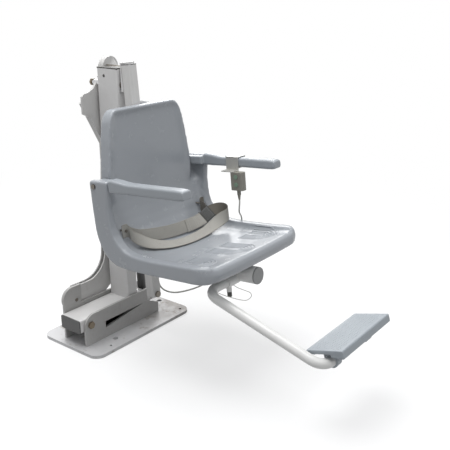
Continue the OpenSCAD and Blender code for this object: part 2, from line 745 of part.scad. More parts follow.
// The middle of the band beside a point, towards which the outer edge draws in
function ear_mid(p) =
  p[1] > foot_share ? [0.08, min(p[1], ear_top_share - 0.03)]
  : p[0] < 0.25 ? [mix(0.08, 0.25, clip((foot_share - p[1]) / foot_share)), max(p[1], 0.08)]
  : [min(p[0], 0.93), 0.055];
module seat_shell() {
  n = len(station_shares);
  us = concat([for (k = [n - 1:-1:1]) -station_shares[k]], station_shares);
  color("lightslategray") seat_frame() difference() {
    loft([for (u = us) [for (p = section(abs(u))) [u * seat_w / 2, p[0], p[1]]]]);
    translate([0, armrest_hinge_y, armrest_hinge_z])
      rod_x(armrest_pin_r + run_gap, -seat_w, seat_w);
    belt_bolt_cut(belt_bolt_r + belt_gap);
  }
}

// Armrests
hinge_depth_share = 0.04435;
hinge_height_share = 0.53965;
armrest_hinge_y = hang_y0 - hinge_depth_share * seat_depth;
armrest_hinge_z = seat_under_z + hinge_height_share * back_h;
knuckle_r = 17;
knuckle_gap = 1.2;
bar_start = 71;
bar_low = 8;
module armrest_pins() {
  x1 = seat_w / 2;
  x0 = x1 * pocket_in_share;
  color("dimgray") seat_frame() for (s = [-1, 1])
    translate([0, armrest_hinge_y, armrest_hinge_z]) {
      rod_x(armrest_pin_r, s > 0 ? x0 : -x1, s > 0 ? x1 : -x0);
      rod_x(armrest_pin_r + nut_over / 2, s > 0 ? x1 : -x1 - pin_head_t * 3,
        s > 0 ? x1 + pin_head_t * 3 : -x1);
    }
}
// Rows of shares along the bar: distance, top and underside
bar_shares = [[0, 0.72, -0.45], [0.03, 0.78, -0.5], [0.12, 0.7, -0.52], [0.25, 0.52, -0.5],
  [0.5, 0.5, -0.5], [0.9, 0.48, -0.52], [0.97, 0.45, -0.49], [1, 0.34, -0.4]];
edge_share = 0.12;
module armrest_bar() {
  x1 = seat_w / 2;
  x0 = x1 - armrest_w;
  r = edge_share * armrest_w;
  loft([for (b = bar_shares) let (y = armrest_hinge_y - bar_start - b[0] * (armrest_len - bar_start),
      t = armrest_hinge_z + b[1] * armrest_t, l = armrest_hinge_z + b[2] * armrest_t)
    [[x0 + r, y, t], [x0, y, t - r], [x0, y, l + r], [x0 + r, y, l],
      [x1 - r, y, l], [x1, y, l + r], [x1, y, t - r], [x1 - r, y, t]]]);
}
module armrest_knuckle() {
  k0 = seat_w / 2 * pocket_in_share + knuckle_gap;
  k1 = seat_w / 2 * pocket_out_share - knuckle_gap;
  difference() {
    union() {
      translate([0, armrest_hinge_y, armrest_hinge_z]) rod_x(knuckle_r, k0, k1);
      block([k0, armrest_hinge_y - bar_start, armrest_hinge_z - knuckle_low],
        [k1, armrest_hinge_y, armrest_hinge_z + knuckle_r]);
    }
    translate([0, armrest_hinge_y, armrest_hinge_z])
      rod_x(armrest_pin_r + run_gap, k0 - over, k1 + over);
  }
}
knuckle_low = 13;
module armrest_right() { color("lightslategray") seat_frame() mirror([1, 0, 0]) armrest_bar(); }
module armrest_left() { color("lightslategray") seat_frame() armrest_bar(); }
module right_knuckle() { color("lightslategray") seat_frame() mirror([1, 0, 0]) armrest_knuckle(); }
module left_knuckle() { color("lightslategray") seat_frame() armrest_knuckle(); }

// Handset and its holder on the left armrest
holder_ahead = 182;
holder_w = 55;
holder_y1 = armrest_hinge_y - holder_ahead;
holder_y0 = holder_y1 - holder_w;
holder_t = 3;
holder_drop = 14;
holder_gap = 0.3;
handset_ahead = 220;
handset_w = 55;
handset_h = 66;
handset_t = 28;
handset_in = 8;
handset_drop = 29;
handset_y1 = armrest_hinge_y - handset_ahead;
handset_y0 = handset_y1 - handset_w;
handset_z1 = armrest_hinge_z - handset_drop;
handset_z0 = handset_z1 - handset_h;
handset_x1 = seat_w / 2 - armrest_w - handset_in;
handset_x0 = handset_x1 - handset_t;
handset_r = 9;
handset_neck_r = 7;
handset_neck_len = 18;
handset_neck_z = handset_z0 - handset_neck_len;
handset_tip_r = 5;
handset_tip_len = 17;
handset_tip_z = handset_neck_z - handset_tip_len;
button_r = 8;
button_travel = 2;
button_deep = 7;
button_gap = 0.3;
button_up_drop = 16;
button_pitch = 28;
button_up_z = handset_z1 - button_up_drop;
button_down_z = button_up_z - button_pitch;
module handset_holder() {
  xo = seat_w / 2;
  xi = xo - armrest_w;
  low = armrest_hinge_z - 0.52 * armrest_t - holder_gap;
  high = armrest_hinge_z + 0.53 * armrest_t + holder_gap;
  color("slategray") seat_frame() difference() {
    union() {
      block([xi - holder_gap - holder_t, holder_y0, low - holder_drop],
        [xi - holder_gap, holder_y1, high + holder_t]);
      block([xi - holder_gap, holder_y0, high], [xo + holder_gap + holder_t, holder_y1, high + holder_t]);
      block([xo + holder_gap, holder_y0, low - holder_t], [xo + holder_gap + holder_t, holder_y1, high]);
      block([xi - holder_gap, holder_y0, low - holder_t], [xo + holder_gap, holder_y1, low]);
      block([handset_x0, holder_y0, handset_z1], [xi - holder_gap, holder_y1, handset_z1 + holder_t]);
    }
  }
}
module handset() {
  c = [(handset_x0 + handset_x1) / 2, (handset_y0 + handset_y1) / 2];
  color("slategray") seat_frame() difference() {
    union() {
      round_block([handset_x0, handset_y0, handset_z0], [handset_x1, handset_y1, handset_z1], handset_r);
      translate(c) rod_z(handset_neck_r, handset_neck_z, handset_z0);
    }
    for (z = [button_down_z, button_up_z]) translate([0, c[1], z])
      rod_x(button_r + button_gap, handset_x0 - over, handset_x0 + button_deep);
  }
}
module handset_button(z) {
  y = (handset_y0 + handset_y1) / 2;
  seat_frame() translate([0, y, z])
    rod_x(button_r, handset_x0 - button_travel, handset_x0 + button_deep - button_travel - button_gap);
}
module button_up() { color("seagreen") handset_button(button_up_z); }
module button_down() { color("seagreen") handset_button(button_down_z); }

// Control box and battery behind the seat's left side
box_x0 = 20;
box_x1 = 112;
box_y0 = -102;
box_y1 = -66;
box_z0 = 600;
box_z1 = 742;
pack_z1 = 884;
pack_x1 = 106;
pack_slope = 26;
box_r = 8;
seat_line = 0.2;
module control_box() {
  color("lightgray") seat_frame() {
    round_block([box_x0, box_y0, box_z0], [box_x1, box_y1, box_z1], box_r);
    block([box_x0, box_y1 - box_r, box_z1], [box_x1 - box_r, box_y1, pack_z1 - pack_slope]);
  }
}
module battery_pack() {
  z0 = box_z1 + seat_line;
  y1 = box_y1 - box_r - seat_line;
  color("gainsboro") seat_frame() slab_xz(box_y0, y1)
    polygon([[box_x0 + seat_line, z0], [pack_x1, z0], [pack_x1, pack_z1 - pack_slope * 2],
      [pack_x1 - pack_slope, pack_z1 - pack_slope / 2], [box_x0 + seat_line, pack_z1]]);
}
gland_x = 60;
gland_y = -84;
gland_r = 8;
gland_len = 14;
cord_r = 3;
module cord_gland() {
  color("dimgray") seat_frame() translate([gland_x, gland_y, 0]) difference() {
    union() {
      rod_z(gland_r, box_z0 - gland_len / 2, box_z0);
      rod_z(gland_r - cord_r / 2, box_z0 - gland_len, box_z0 - gland_len / 2);
    }
  }
}

// Footrest
foot_run_y = -500;
foot_run_z = 297;
foot_corner_x = -172;
foot_down_y = 420;
foot_down_z = 156;
foot_bend_r = 45;
foot_end_x = 118;
socket_r = 20;
socket_x0 = -75;
foot_tilt = atan2(foot_down_z, foot_down_y);
foot_leg = norm([foot_down_y, foot_down_z]);
pin_x = -56;
pull_pin_r = 4;
pull_travel = 16;
pull_knob_r = 8;
pull_knob_len = 18;
pull_collar_r = 9;
pull_collar_len = 16;
pull_top = 5;
// A round bar that follows the footrest's path: in along X, down the leg, back along X
module foot_path(r, cut) {
  b = foot_bend_r;
  translate([foot_corner_x, foot_run_y, foot_run_z]) rotate([foot_tilt, 0, 0]) {
    rod_x(r, b, -foot_corner_x - support_r + cut);
    rod_y(r, -foot_leg + b, -b);
    translate([0, -foot_leg, 0]) rod_x(r, b, foot_end_x - foot_corner_x + cut);
    translate([b, -b, 0]) rotate(90) rotate_extrude(angle = 90) translate([b, 0]) circle(r = r);
    translate([b, b - foot_leg, 0]) rotate(180) rotate_extrude(angle = 90)
      translate([b, 0]) circle(r = r);
  }
}
module footrest_tube() {
  color("whitesmoke") seat_frame() difference() {
    foot_path(foot_tube_r, 0);
    foot_path(foot_tube_r - foot_tube_wall, over);
    translate([pin_x, foot_run_y, 0]) rod_z(pull_pin_r + run_gap, foot_run_z - socket_r - over, foot_run_z);
  }
}
module footrest_socket() {
  color("whitesmoke") seat_frame() difference() {
    union() {
      translate([0, foot_run_y, foot_run_z]) rod_x(socket_r, socket_x0, -support_r / 2);
      translate([pin_x, foot_run_y, 0])
        rod_z(pull_collar_r, foot_run_z - socket_r - pull_collar_len, foot_run_z);
    }
    translate([0, foot_run_y, foot_run_z]) rod_x(foot_tube_r + run_gap, socket_x0 - over, 0);
    translate([0, 0, support_z]) rod_y(support_r, foot_run_y - 2 * socket_r, foot_run_y + 2 * socket_r);
    translate([pin_x, foot_run_y, 0])
      rod_z(pull_pin_r + run_gap, foot_run_z - 3 * socket_r, foot_run_z);
  }
}
module pull_pin() {
  z1 = foot_run_z - socket_r - pull_collar_len;
  color("dimgray") seat_frame() translate([pin_x, foot_run_y, 0]) {
    rod_z(pull_pin_r, z1, foot_run_z - foot_tube_r + foot_tube_wall + pull_top);
    rod_z(pull_knob_r, z1 - pull_knob_len - seat_line, z1 - seat_line);
  }
}
// The pad turns about the tube's last run
pad_tilt = 11.3;
pad_axis_y = foot_run_y - foot_down_y;
pad_axis_z = foot_run_z - foot_down_z;
pad_up = 45;
pad_heel_t = 12;
pad_skin = 8;
pad_bevel = 3;
// A hollow under the pad that clears the tube's bend as the pad folds up
pad_relief = 13;
pad_relief_toe = 20;
pad_relief_heel = 34;
clamp_w = 24;
clamp_wall = 6;
clamp_xs = [-112, 84];
module pad_frame() {
  seat_frame() translate([0, pad_axis_y, pad_axis_z]) rotate([-pad_tilt, 0, 0]) children();
}
module foot_pad() {
  h = pad_up;
  d = pad_d / 2;
  w = pad_w / 2;
  b = pad_bevel;
  color("slategray") pad_frame() difference() {
    loft([for (k = [[0, 0], [1, 1]]) 
      let (x = k[0] == 0 ? -w : w)
      [[x, -d + b, h], [x, -d, h - b], [x, -d, h - pad_t], [x, -d + pad_skin, h - pad_t],
        [x, d - b, h - pad_heel_t], [x, d, h - pad_heel_t + b], [x, d, h - b], [x, d - b, h]]]);
    for (x = clamp_xs) block([x - clamp_w / 2 - clamp_wall, -d + pad_skin, h - pad_t - over],
      [x + clamp_w / 2 + clamp_wall, d - pad_skin * 3, h - pad_skin]);
    block([-w - over, -pad_relief_toe, h - pad_t - over],
      [foot_corner_x + foot_bend_r + over, pad_relief_heel, h - pad_t + pad_relief]);
  }
}
module foot_pad_clamps() {
  ro = foot_tube_r + clamp_wall;
  color("slategray") pad_frame() for (x = clamp_xs) difference() {
    union() {
      rod_x(ro, x - clamp_w / 2, x + clamp_w / 2);
      block([x - clamp_w / 2, -ro, 0], [x + clamp_w / 2, ro, pad_up - pad_skin]);
    }
    rod_x(foot_tube_r + run_gap, x - clamp_w, x + clamp_w);
  }
}

// Lap belt
belt_t = 2.4;
belt_w = 46;
belt_gap = 0.3;
buckle_gap = 0.6;
buckle_len = 37.4;
buckle_t = 34;
buckle_h = 54;
buckle_low = 1;
belt_bolt_r = 3;
belt_head_r = 5.5;
belt_head_t = 3;
belt_bolt_in = 4;
// The seat's own place for a strap's row, and for its upper edge
function foot_of(s) = let (p = place([s[1], s[2]])) [s[0] * seat_w / 2, p[0], p[1]];
function strap_rows(shares) = [for (s = shares)
  [foot_of(s), foot_of(s) + belt_w * [s[3], s[4], 1]]];
function last_foot(shares) = foot_of(shares[len(shares) - 1]);
// A flat strap through points that each give the middle of its foot and its upper edge
module strap(rows) {
  h = belt_t / 2;
  loft([for (i = [0:len(rows) - 1]) let (a = rows[max(i - 1, 0)], b = rows[min(i + 1, len(rows) - 1)],
      d = [b[0][0] - a[0][0], b[0][1] - a[0][1]], n = [-d[1], d[0]] / norm(d) * h, p = rows[i][0], q = rows[i][1])
    [[p[0] + n[0], p[1] + n[1], p[2]], [p[0] - n[0], p[1] - n[1], p[2]],
      [q[0] - n[0], q[1] - n[1], q[2]], [q[0] + n[0], q[1] + n[1], q[2]]]]);
}
module belt_right() { color("tan") seat_frame() strap(strap_rows(belt_right_shares)); }
module belt_front() { color("tan") seat_frame() strap(strap_rows(belt_front_shares)); }
module belt_left() { color("tan") seat_frame() strap(strap_rows(belt_left_shares)); }
module belt_buckle() {
  x0 = last_foot(belt_front_shares)[0] + buckle_gap;
  y1 = last_foot(belt_left_shares)[1] - belt_gap;
  z0 = last_foot(belt_front_shares)[2] - buckle_low;
  color("dimgray") seat_frame() block([x0, y1 - buckle_t, z0], [x0 + buckle_len, y1, z0 + buckle_h]);
}
// Bolts through the back hold the straps' ends
module belt_bolt_cut(r) {
  for (s = [-1, 1]) translate([s * belt_bolt_x, 0, belt_bolt_z]) rod_y(r, belt_head_y, hang_y0 + over);
}
module belt_anchors() {
  color("dimgray") seat_frame() for (s = [-1, 1])
    translate([s * belt_bolt_x, 0, belt_bolt_z]) {
      rod_y(belt_bolt_r, belt_bolt_y, hang_y0 - belt_bolt_in);
      rod_y(belt_head_r, belt_head_y - belt_head_t, belt_head_y);
    }
}

// Handset cord and the pin's lanyard
function unitv(v) = v / norm(v);
module tube_along(pts, r, sides) {
  m = len(pts);
  function dir(i) = unitv(pts[min(i + 1, m - 1)] - pts[max(i - 1, 0)]);
  loft([for (i = [0:m - 1]) let (d = dir(i), s = unitv(cross(d, [0.31, 0.62, 0.72])), t = cross(d, s))
    [for (k = [0:sides - 1]) pts[i] + r * (cos(k * 360 / sides) * s + sin(k * 360 / sides) * t)]]);
}
// Each row of a strap holds its foot as shares of the seat's half width, depth and
// height, and how far its upper edge leans in X and Y as shares of the strap's width
belt_right_shares = [
  [-0.8206, 0.1694, 0.1818, 0, 0], [-0.7366, 0.1694, 0.1818, 0, 0], [-0.687, 0.1794, 0.1567, -0.02, 0.11],
  [-0.5573, 0.2077, 0.1257, -0.04, 0.26], [-0.2863, 0.2379, 0.1044, -0.02, 0.3], [-0.0305, 0.2641, 0.0948, 0, 0.28],
  [0.2863, 0.2762, 0.0948, 0.02, 0.22], [0.4962, 0.2883, 0.1006, 0.04, 0.17], [0.6412, 0.2964, 0.1083, 0, 0.15]];
belt_front_shares = [
  [-0.7405, 0.2036, 0.1586, -0.02, 0.13], [-0.687, 0.2399, 0.1238, -0.02, 0.22], [-0.5687, 0.2883, 0.0909, -0.02, 0.17],
  [-0.3588, 0.371, 0.0774, -0.02, 0.2], [-0.0992, 0.4052, 0.0716, 0, 0.15], [0.1527, 0.4012, 0.0716, 0.02, 0.13],
  [0.4198, 0.377, 0.0774, 0.04, 0.13], [0.5496, 0.3528, 0.089, 0.07, 0.13], [0.6412, 0.3367, 0.1025, 0, 0.13]];
belt_left_shares = [
  [0.8206, 0.1694, 0.1818, 0, 0], [0.7366, 0.1694, 0.1818, 0, 0], [0.7137, 0.1875, 0.1663, 0, 0.04],
  [0.7099, 0.2238, 0.1431, 0, 0.04], [0.7137, 0.2736, 0.1199, 0, 0]];
// Each bolt stands in its strap's flat end
belt_end = foot_of(belt_right_shares[0]);
belt_bolt_share = 0.3;
belt_bolt_x = -mix(foot_of(belt_right_shares[1])[0], belt_end[0], belt_bolt_share);
belt_bolt_z = belt_end[2] + belt_w / 2;
belt_bolt_y = belt_end[1] + belt_t / 2 + belt_gap;
belt_head_y = belt_end[1] - belt_t / 2 - belt_gap;
handset_cord_pts = [[200, -372, 505], [200, -372, 494], [204, -366, 474], [222, -350, 450],
  [250, -332, 432], [272, -320, 414], [280, -312, 384], [268, -300, 340], [232, -282, 280],
  [182, -256, 216], [133, -228, 176], [90, -170, 152], [58, -122, 148], [38, -90, 168],
  [32, -82, 210], [32, -82, 290], [34, -82, 400], [44, -84, 500], [58, -84, 560], [60, -84, 586]];
lanyard_pts = [[-36, -504, 276], [-20, -510, 262], [10, -514, 243], [34, -516, 228], [40, -518, 216],
  [28, -520, 209], [0, -522, 212], [-40, -524, 230], [-80, -520, 252], [-108, -507, 270],
  [-120, -500, 279.6]];
lanyard_r = 1.2;
// A smooth curve through the points, with even steps between them
function curve_at(p, i, t) = let (m = len(p), a = p[max(i - 1, 0)], b = p[i], c = p[i + 1],
    d = p[min(i + 2, m - 1)])
  0.5 * (2 * b + (c - a) * t + (2 * a - 5 * b + 4 * c - d) * t * t
    + (3 * b - a - 3 * c + d) * t * t * t);
function curve(p, steps) = [for (i = [0:len(p) - 2], k = [0:steps - 1]) curve_at(p, i, k / steps),
  p[len(p) - 1]];
module handset_cord() {
  color("linen") seat_frame() tube_along(curve(handset_cord_pts, 4), cord_r, 8);
}
module pin_lanyard() {
  color("linen") seat_frame() tube_along(curve(lanyard_pts, 4), lanyard_r, 8);
}

base_plate();
near_cheek();
rear_cheek();
beam_rest();
lift_pivot_shaft();
lift_pivot_nuts();
link_pivot_pin();
arm_beam();
beam_end_cap();
arm_mast();
lift_bush();
mast_bush();
actuator_pin();
link_plates();
link_tube();
link_head_plate();
link_head_boss();
actuator_bracket();
actuator_body();
actuator_rod();
hanger_tube();
hanger_cap();
pivot_bracket();
hanger_shaft();
hanger_shaft_nut();
link_top_pin();
hanger_bolt();
seat_tube();
seat_tube_cap();
seat_rails();
seat_shell();
armrest_pins();
armrest_right();
armrest_left();
right_knuckle();
left_knuckle();
handset_holder();
handset();
button_up();
button_down();
control_box();
battery_pack();
cord_gland();
footrest_socket();
footrest_tube();
pull_pin();
foot_pad();
foot_pad_clamps();
belt_right();
belt_front();
belt_left();
belt_buckle();
belt_anchors();
handset_cord();
pin_lanyard();
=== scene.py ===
import math

import bmesh
import bpy
from mathutils import Matrix, Vector
from mathutils.bvhtree import BVHTree


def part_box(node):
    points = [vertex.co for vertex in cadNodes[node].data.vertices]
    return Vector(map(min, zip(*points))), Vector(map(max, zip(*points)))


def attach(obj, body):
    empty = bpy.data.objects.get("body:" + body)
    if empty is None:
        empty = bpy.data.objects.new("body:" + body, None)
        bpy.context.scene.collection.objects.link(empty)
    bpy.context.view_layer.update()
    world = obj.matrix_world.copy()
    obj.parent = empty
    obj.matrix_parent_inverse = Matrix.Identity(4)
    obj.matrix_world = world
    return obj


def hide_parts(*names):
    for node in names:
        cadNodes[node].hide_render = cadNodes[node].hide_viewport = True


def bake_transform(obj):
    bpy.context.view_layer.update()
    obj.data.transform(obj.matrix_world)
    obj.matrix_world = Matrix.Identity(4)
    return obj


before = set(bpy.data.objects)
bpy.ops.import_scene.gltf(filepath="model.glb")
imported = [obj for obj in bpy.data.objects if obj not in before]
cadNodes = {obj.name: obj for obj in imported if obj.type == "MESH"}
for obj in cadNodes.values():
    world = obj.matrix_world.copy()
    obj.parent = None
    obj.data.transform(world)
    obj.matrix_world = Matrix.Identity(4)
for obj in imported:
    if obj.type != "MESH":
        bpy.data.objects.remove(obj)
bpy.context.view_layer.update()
print("pool lift: frame loaded with", len(cadNodes), "CAD nodes")

scene = bpy.context.scene
scene.view_settings.view_transform = "Standard"

# camera at the photograph's viewing angle
cameraSetup = dict(
    place=(-1.6729, -1.8295, 1.2500),
    azimuth=-52.2,
    downTilt=18.95,
    roll=-0.18,
    focalPixels=682.0,
    imagePixels=450.0,
    sensor=36.0,
    nearClip=0.05,
    farClip=200.0,
)


def makeCamera(setup):
    data = bpy.data.cameras.new("photoCamera")
    data.sensor_width = setup["sensor"]
    data.lens = setup["sensor"] * setup["focalPixels"] / setup["imagePixels"]
    data.clip_start, data.clip_end = setup["nearClip"], setup["farClip"]
    azimuth, tilt, roll = (math.radians(setup[k]) for k in ("azimuth", "downTilt", "roll"))
    ahead = Vector((-math.sin(azimuth) * math.cos(tilt),
                    math.cos(azimuth) * math.cos(tilt), -math.sin(tilt)))
    side = ahead.cross(Vector((0, 0, 1))).normalized()
    above = side.cross(ahead)
    across = side * math.cos(roll) + above * math.sin(roll)
    upward = above * math.cos(roll) - side * math.sin(roll)
    turn = Matrix((across, upward, -ahead)).transposed().to_4x4()
    camera = bpy.data.objects.new("photoCamera", data)
    camera.matrix_world = Matrix.Translation(setup["place"]) @ turn
    scene.collection.objects.link(camera)
    scene.camera = camera


makeCamera(cameraSetup)
print("camera placed")

# the hanger and the seat lean back, so their points are written upright and leaned here
seatLean = dict(angle=5.2, shift=36.0, turnY=-83.0, turnZ=1000.0)
mm = 0.001


def leaned(point):
    angle = math.radians(seatLean["angle"])
    y, z = point[1] - seatLean["turnY"], point[2] - seatLean["turnZ"]
    return Vector((point[0] + seatLean["shift"],
                   y * math.cos(angle) + z * math.sin(angle) + seatLean["turnY"],
                   z * math.cos(angle) - y * math.sin(angle) + seatLean["turnZ"])) * mm


# edges are shaded smooth up to these angles, in degrees
smoothUpTo = dict(edges=35, housing=40, strap=50, round=60, all=180)


# small helpers for meshes
def deselectAll():
    if bpy.context.object and bpy.context.object.mode != "OBJECT":
        bpy.ops.object.mode_set(mode="OBJECT")
    bpy.ops.object.select_all(action="DESELECT")


def makeActive(piece):
    deselectAll()
    piece.select_set(True)
    bpy.context.view_layer.objects.active = piece


def meshPiece(name, points, faces):
    mesh = bpy.data.meshes.new(name)
    mesh.from_pydata([tuple(p) for p in points], [], faces)
    mesh.update()
    piece = bpy.data.objects.new(name, mesh)
    scene.collection.objects.link(piece)
    return piece


def addModifier(piece, kind, **settings):
    modifier = piece.modifiers.new(kind.title(), kind)
    for key, value in settings.items():
        setattr(modifier, key, value)
    return modifier


def applyModifiers(piece):
    makeActive(piece)
    for modifier in list(piece.modifiers):
        bpy.ops.object.modifier_apply(modifier=modifier.name)


def bevelled(piece, width, segments=2):
    addModifier(piece, "BEVEL", width=width, segments=segments, limit_method="ANGLE")
    applyModifiers(piece)


def smoothed(piece, kind="edges"):
    makeActive(piece)
    bpy.ops.object.shade_smooth_by_angle(angle=math.radians(smoothUpTo[kind]))


def finishPiece(piece, look, body, nodes=()):
    piece.data.materials.clear()
    piece.data.materials.append(finish[look])
    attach(piece, body)
    if nodes:
        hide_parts(*nodes)


def joined(name, parts):
    makeActive(parts[0])
    for part in parts[1:]:
        part.select_set(True)
    if len(parts) > 1:
        bpy.ops.object.join()
    piece = bpy.context.object
    bpy.ops.object.transform_apply(location=True, rotation=True, scale=True)
    piece.name = piece.data.name = name
    return piece


def outward(piece):
    makeActive(piece)
    bpy.ops.object.mode_set(mode="EDIT")
    bpy.ops.mesh.select_all(action="SELECT")
    bpy.ops.mesh.normals_make_consistent(inside=False)
    bpy.ops.object.mode_set(mode="OBJECT")


# a surface through rings of points, with both ends closed
def loftPiece(name, rings):
    count = len(rings[0])
    points = [p for ring in rings for p in ring]
    faces = []
    for i in range(len(rings) - 1):
        for j in range(count):
            k = (j + 1) % count
            faces.append((i * count + j, i * count + k, (i + 1) * count + k, (i + 1) * count + j))
    last = (len(rings) - 1) * count
    for i in range(math.ceil(count / 2) - 1):
        a, b, c, d = i, i + 1, count - 2 - i, count - 1 - i
        if b < c:
            faces.append((a, d, c, b))
            faces.append((last + a, last + b, last + c, last + d))
        else:
            faces.append((a, d, b))
            faces.append((last + a, last + b, last + d))
    return meshPiece(name, points, faces)


# a smooth curve through the points
def smoothRoute(points, steps):
    route = []
    for i in range(len(points) - 1):
        a, b, c, d = (Vector(points[max(i - 1, 0)]), Vector(points[i]), Vector(points[i + 1]),
                      Vector(points[min(i + 2, len(points) - 1)]))
        for k in range(steps):
            t = k / steps
            route.append(0.5 * (2 * b + (c - a) * t + (2 * a - 5 * b + 4 * c - d) * t * t
                                + (3 * b - a - 3 * c + d) * t ** 3))
    return route + [Vector(points[-1])]


def routeLength(points):
    return sum((points[i + 1] - points[i]).length for i in range(len(points) - 1))


# a round tube along a route
def tubePiece(name, route, radius, sides):
    rings = []
    side = None
    for i, point in enumerate(route):
        ahead = (route[min(i + 1, len(route) - 1)] - route[max(i - 1, 0)]).normalized()
        if side is None:
            side = ahead.orthogonal().normalized()
        side = (side - ahead * side.dot(ahead)).normalized()
        up = ahead.cross(side)
        rings.append([point + radius * (math.cos(a) * side + math.sin(a) * up)
                      for a in (math.tau * k / sides for k in range(sides))])
    return loftPiece(name, rings)


# shader groups that several finishes share
def startGroup(name, inputs, outputs):
    group = bpy.data.node_groups.new(name, "ShaderNodeTree")
    kinds = dict(value="NodeSocketFloat", colour="NodeSocketColor", vector="NodeSocketVector")
    for label, kind, default in inputs:
        socket = group.interface.new_socket(label, in_out="INPUT", socket_type=kinds[kind])
        if default is not None:
            socket.default_value = default
    for label, kind in outputs:
        group.interface.new_socket(label, in_out="OUTPUT", socket_type=kinds[kind])
    return group, group.nodes.new("NodeGroupInput"), group.nodes.new("NodeGroupOutput")


def addNode(tree, kind, links=(), **settings):
    node = tree.nodes.new(kind)
    for key, value in settings.items():
        if key in node.inputs:
            node.inputs[key].default_value = value
        else:
            setattr(node, key, value)
    for target, source in links:
        tree.links.new(source, node.inputs[target])
    return node


# a number or colour goes on the socket, and an output is linked to it
def feed(tree, socket, value):
    if isinstance(value, (int, float, tuple)):
        socket.default_value = value
    elif value is not None:
        tree.links.new(value, socket)


def addMath(tree, operation, first, second=None, clamp=False):
    node = tree.nodes.new("ShaderNodeMath")
    node.operation, node.use_clamp = operation, clamp
    feed(tree, node.inputs[0], first)
    feed(tree, node.inputs[1], second)
    return node.outputs[0]


def addBlend(tree, share, first, second):
    node = tree.nodes.new("ShaderNodeMix")
    node.data_type = "RGBA"
    for label, value in (("Factor_Float", share), ("A_Color", first), ("B_Color", second)):
        feed(tree, next(s for s in node.inputs if s.identifier == label), value)
    return next(s for s in node.outputs if s.identifier == "Result_Color")


def noiseAt(tree, vector, scale, detail=3.0, roughness=0.55):
    node = addNode(tree, "ShaderNodeTexNoise", [("Vector", vector)],
                   Detail=detail, Roughness=roughness)
    feed(tree, node.inputs["Scale"], scale)
    return node.outputs["Fac"]


# 0 at low and 1 at high
def spanOf(tree, value, low, high, **settings):
    settings.update({"From Min": low, "From Max": high})
    return addNode(tree, "ShaderNodeMapRange", [("Value", value)], **settings).outputs[0]


def objectPlace(tree):
    return addNode(tree, "ShaderNodeTexCoord").outputs["Object"]


# slow drift of tone with a few darker stains in it
toneDrift = dict(detail=4.0, roughness=0.6, spotRatio=3.7, spotDetail=6.0,
                 spotRoughness=0.7, spotFrom=0.56, spotTo=0.76)


def makeToneGroup():
    group, given, result = startGroup("toneDrift", [
        ("Place", "vector", None), ("Colour", "colour", (0.5, 0.5, 0.5, 1)),
        ("Stain", "colour", (0.2, 0.2, 0.2, 1)), ("Drift", "value", 0.1),
        ("Stains", "value", 0.2), ("Scale", "value", 6.0)],
        [("Colour", "colour"), ("Mask", "value")])
    place, scale = given.outputs["Place"], given.outputs["Scale"]
    slow = noiseAt(group, place, scale, toneDrift["detail"], toneDrift["roughness"])
    lift = addMath(group, "MULTIPLY", addMath(group, "SUBTRACT", slow, 0.5),
                   given.outputs["Drift"])
    tone = addMath(group, "ADD", addMath(group, "MULTIPLY", lift, 2.0), 1.0)
    drifted = addNode(group, "ShaderNodeVectorMath",
                      [(0, given.outputs["Colour"]), ("Scale", tone)], operation="SCALE")
    small = noiseAt(group, place, addMath(group, "MULTIPLY", scale, toneDrift["spotRatio"]),
                    toneDrift["spotDetail"], toneDrift["spotRoughness"])
    spots = spanOf(group, small, toneDrift["spotFrom"], toneDrift["spotTo"])
    amount = addMath(group, "MULTIPLY", spots, given.outputs["Stains"], True)
    group.links.new(addBlend(group, amount, drifted.outputs[0], given.outputs["Stain"]),
                    result.inputs["Colour"])
    group.links.new(small, result.inputs["Mask"])
    return group


# fine moulded or sprayed grain, as a height for the bump
fineGrain = dict(fineDetail=2.0, broadDetail=3.0, roughness=0.5, fineShare=0.35)


def makeGrainGroup():
    group, given, result = startGroup("fineGrain", [
        ("Place", "vector", None), ("Size", "value", 900.0), ("Waves", "value", 40.0)],
        [("Height", "value")])
    fine, broad = (noiseAt(group, given.outputs["Place"], given.outputs[label],
                           fineGrain[detail], fineGrain["roughness"])
                   for label, detail in (("Size", "fineDetail"), ("Waves", "broadDetail")))
    share = addMath(group, "MULTIPLY", fine, fineGrain["fineShare"])
    group.links.new(addMath(group, "ADD", share, broad), result.inputs["Height"])
    return group


# rubbed edges, found from the mesh's own curvature
edgeRub = dict(flat=0.52, sharp=0.60, breaks=120.0, detail=4.0)


def makeEdgeGroup():
    group, given, result = startGroup("edgeRub", [
        ("Place", "vector", None), ("Reach", "value", 0.1)], [("Mask", "value")])
    bend = addNode(group, "ShaderNodeNewGeometry").outputs["Pointiness"]
    ridge = spanOf(group, bend, edgeRub["flat"], edgeRub["sharp"])
    broken = noiseAt(group, given.outputs["Place"], edgeRub["breaks"], edgeRub["detail"])
    kept = addMath(group, "MULTIPLY", ridge, broken, True)
    group.links.new(addMath(group, "MULTIPLY", kept, given.outputs["Reach"], True),
                    result.inputs["Mask"])
    return group


toneGroup, grainGroup, edgeGroup = makeToneGroup(), makeGrainGroup(), makeEdgeGroup()


def placeGroup(tree, group, place, **values):
    node = tree.nodes.new("ShaderNodeGroup")
    node.node_tree = group
    tree.links.new(place, node.inputs["Place"])
    for label, value in values.items():
        node.inputs[label].default_value = value
    return node


# a colour as it is seen, 0 to 255, turned into the linear values that the nodes take
def shade(red, green, blue):
    return tuple(((v / 255 + 0.055) / 1.055) ** 2.4 for v in (red, green, blue)) + (1.0,)


def newMaterial(name):
    material = bpy.data.materials.new(name)
    material.use_nodes = True
    return material, material.node_tree, material.node_tree.nodes["Principled BSDF"]


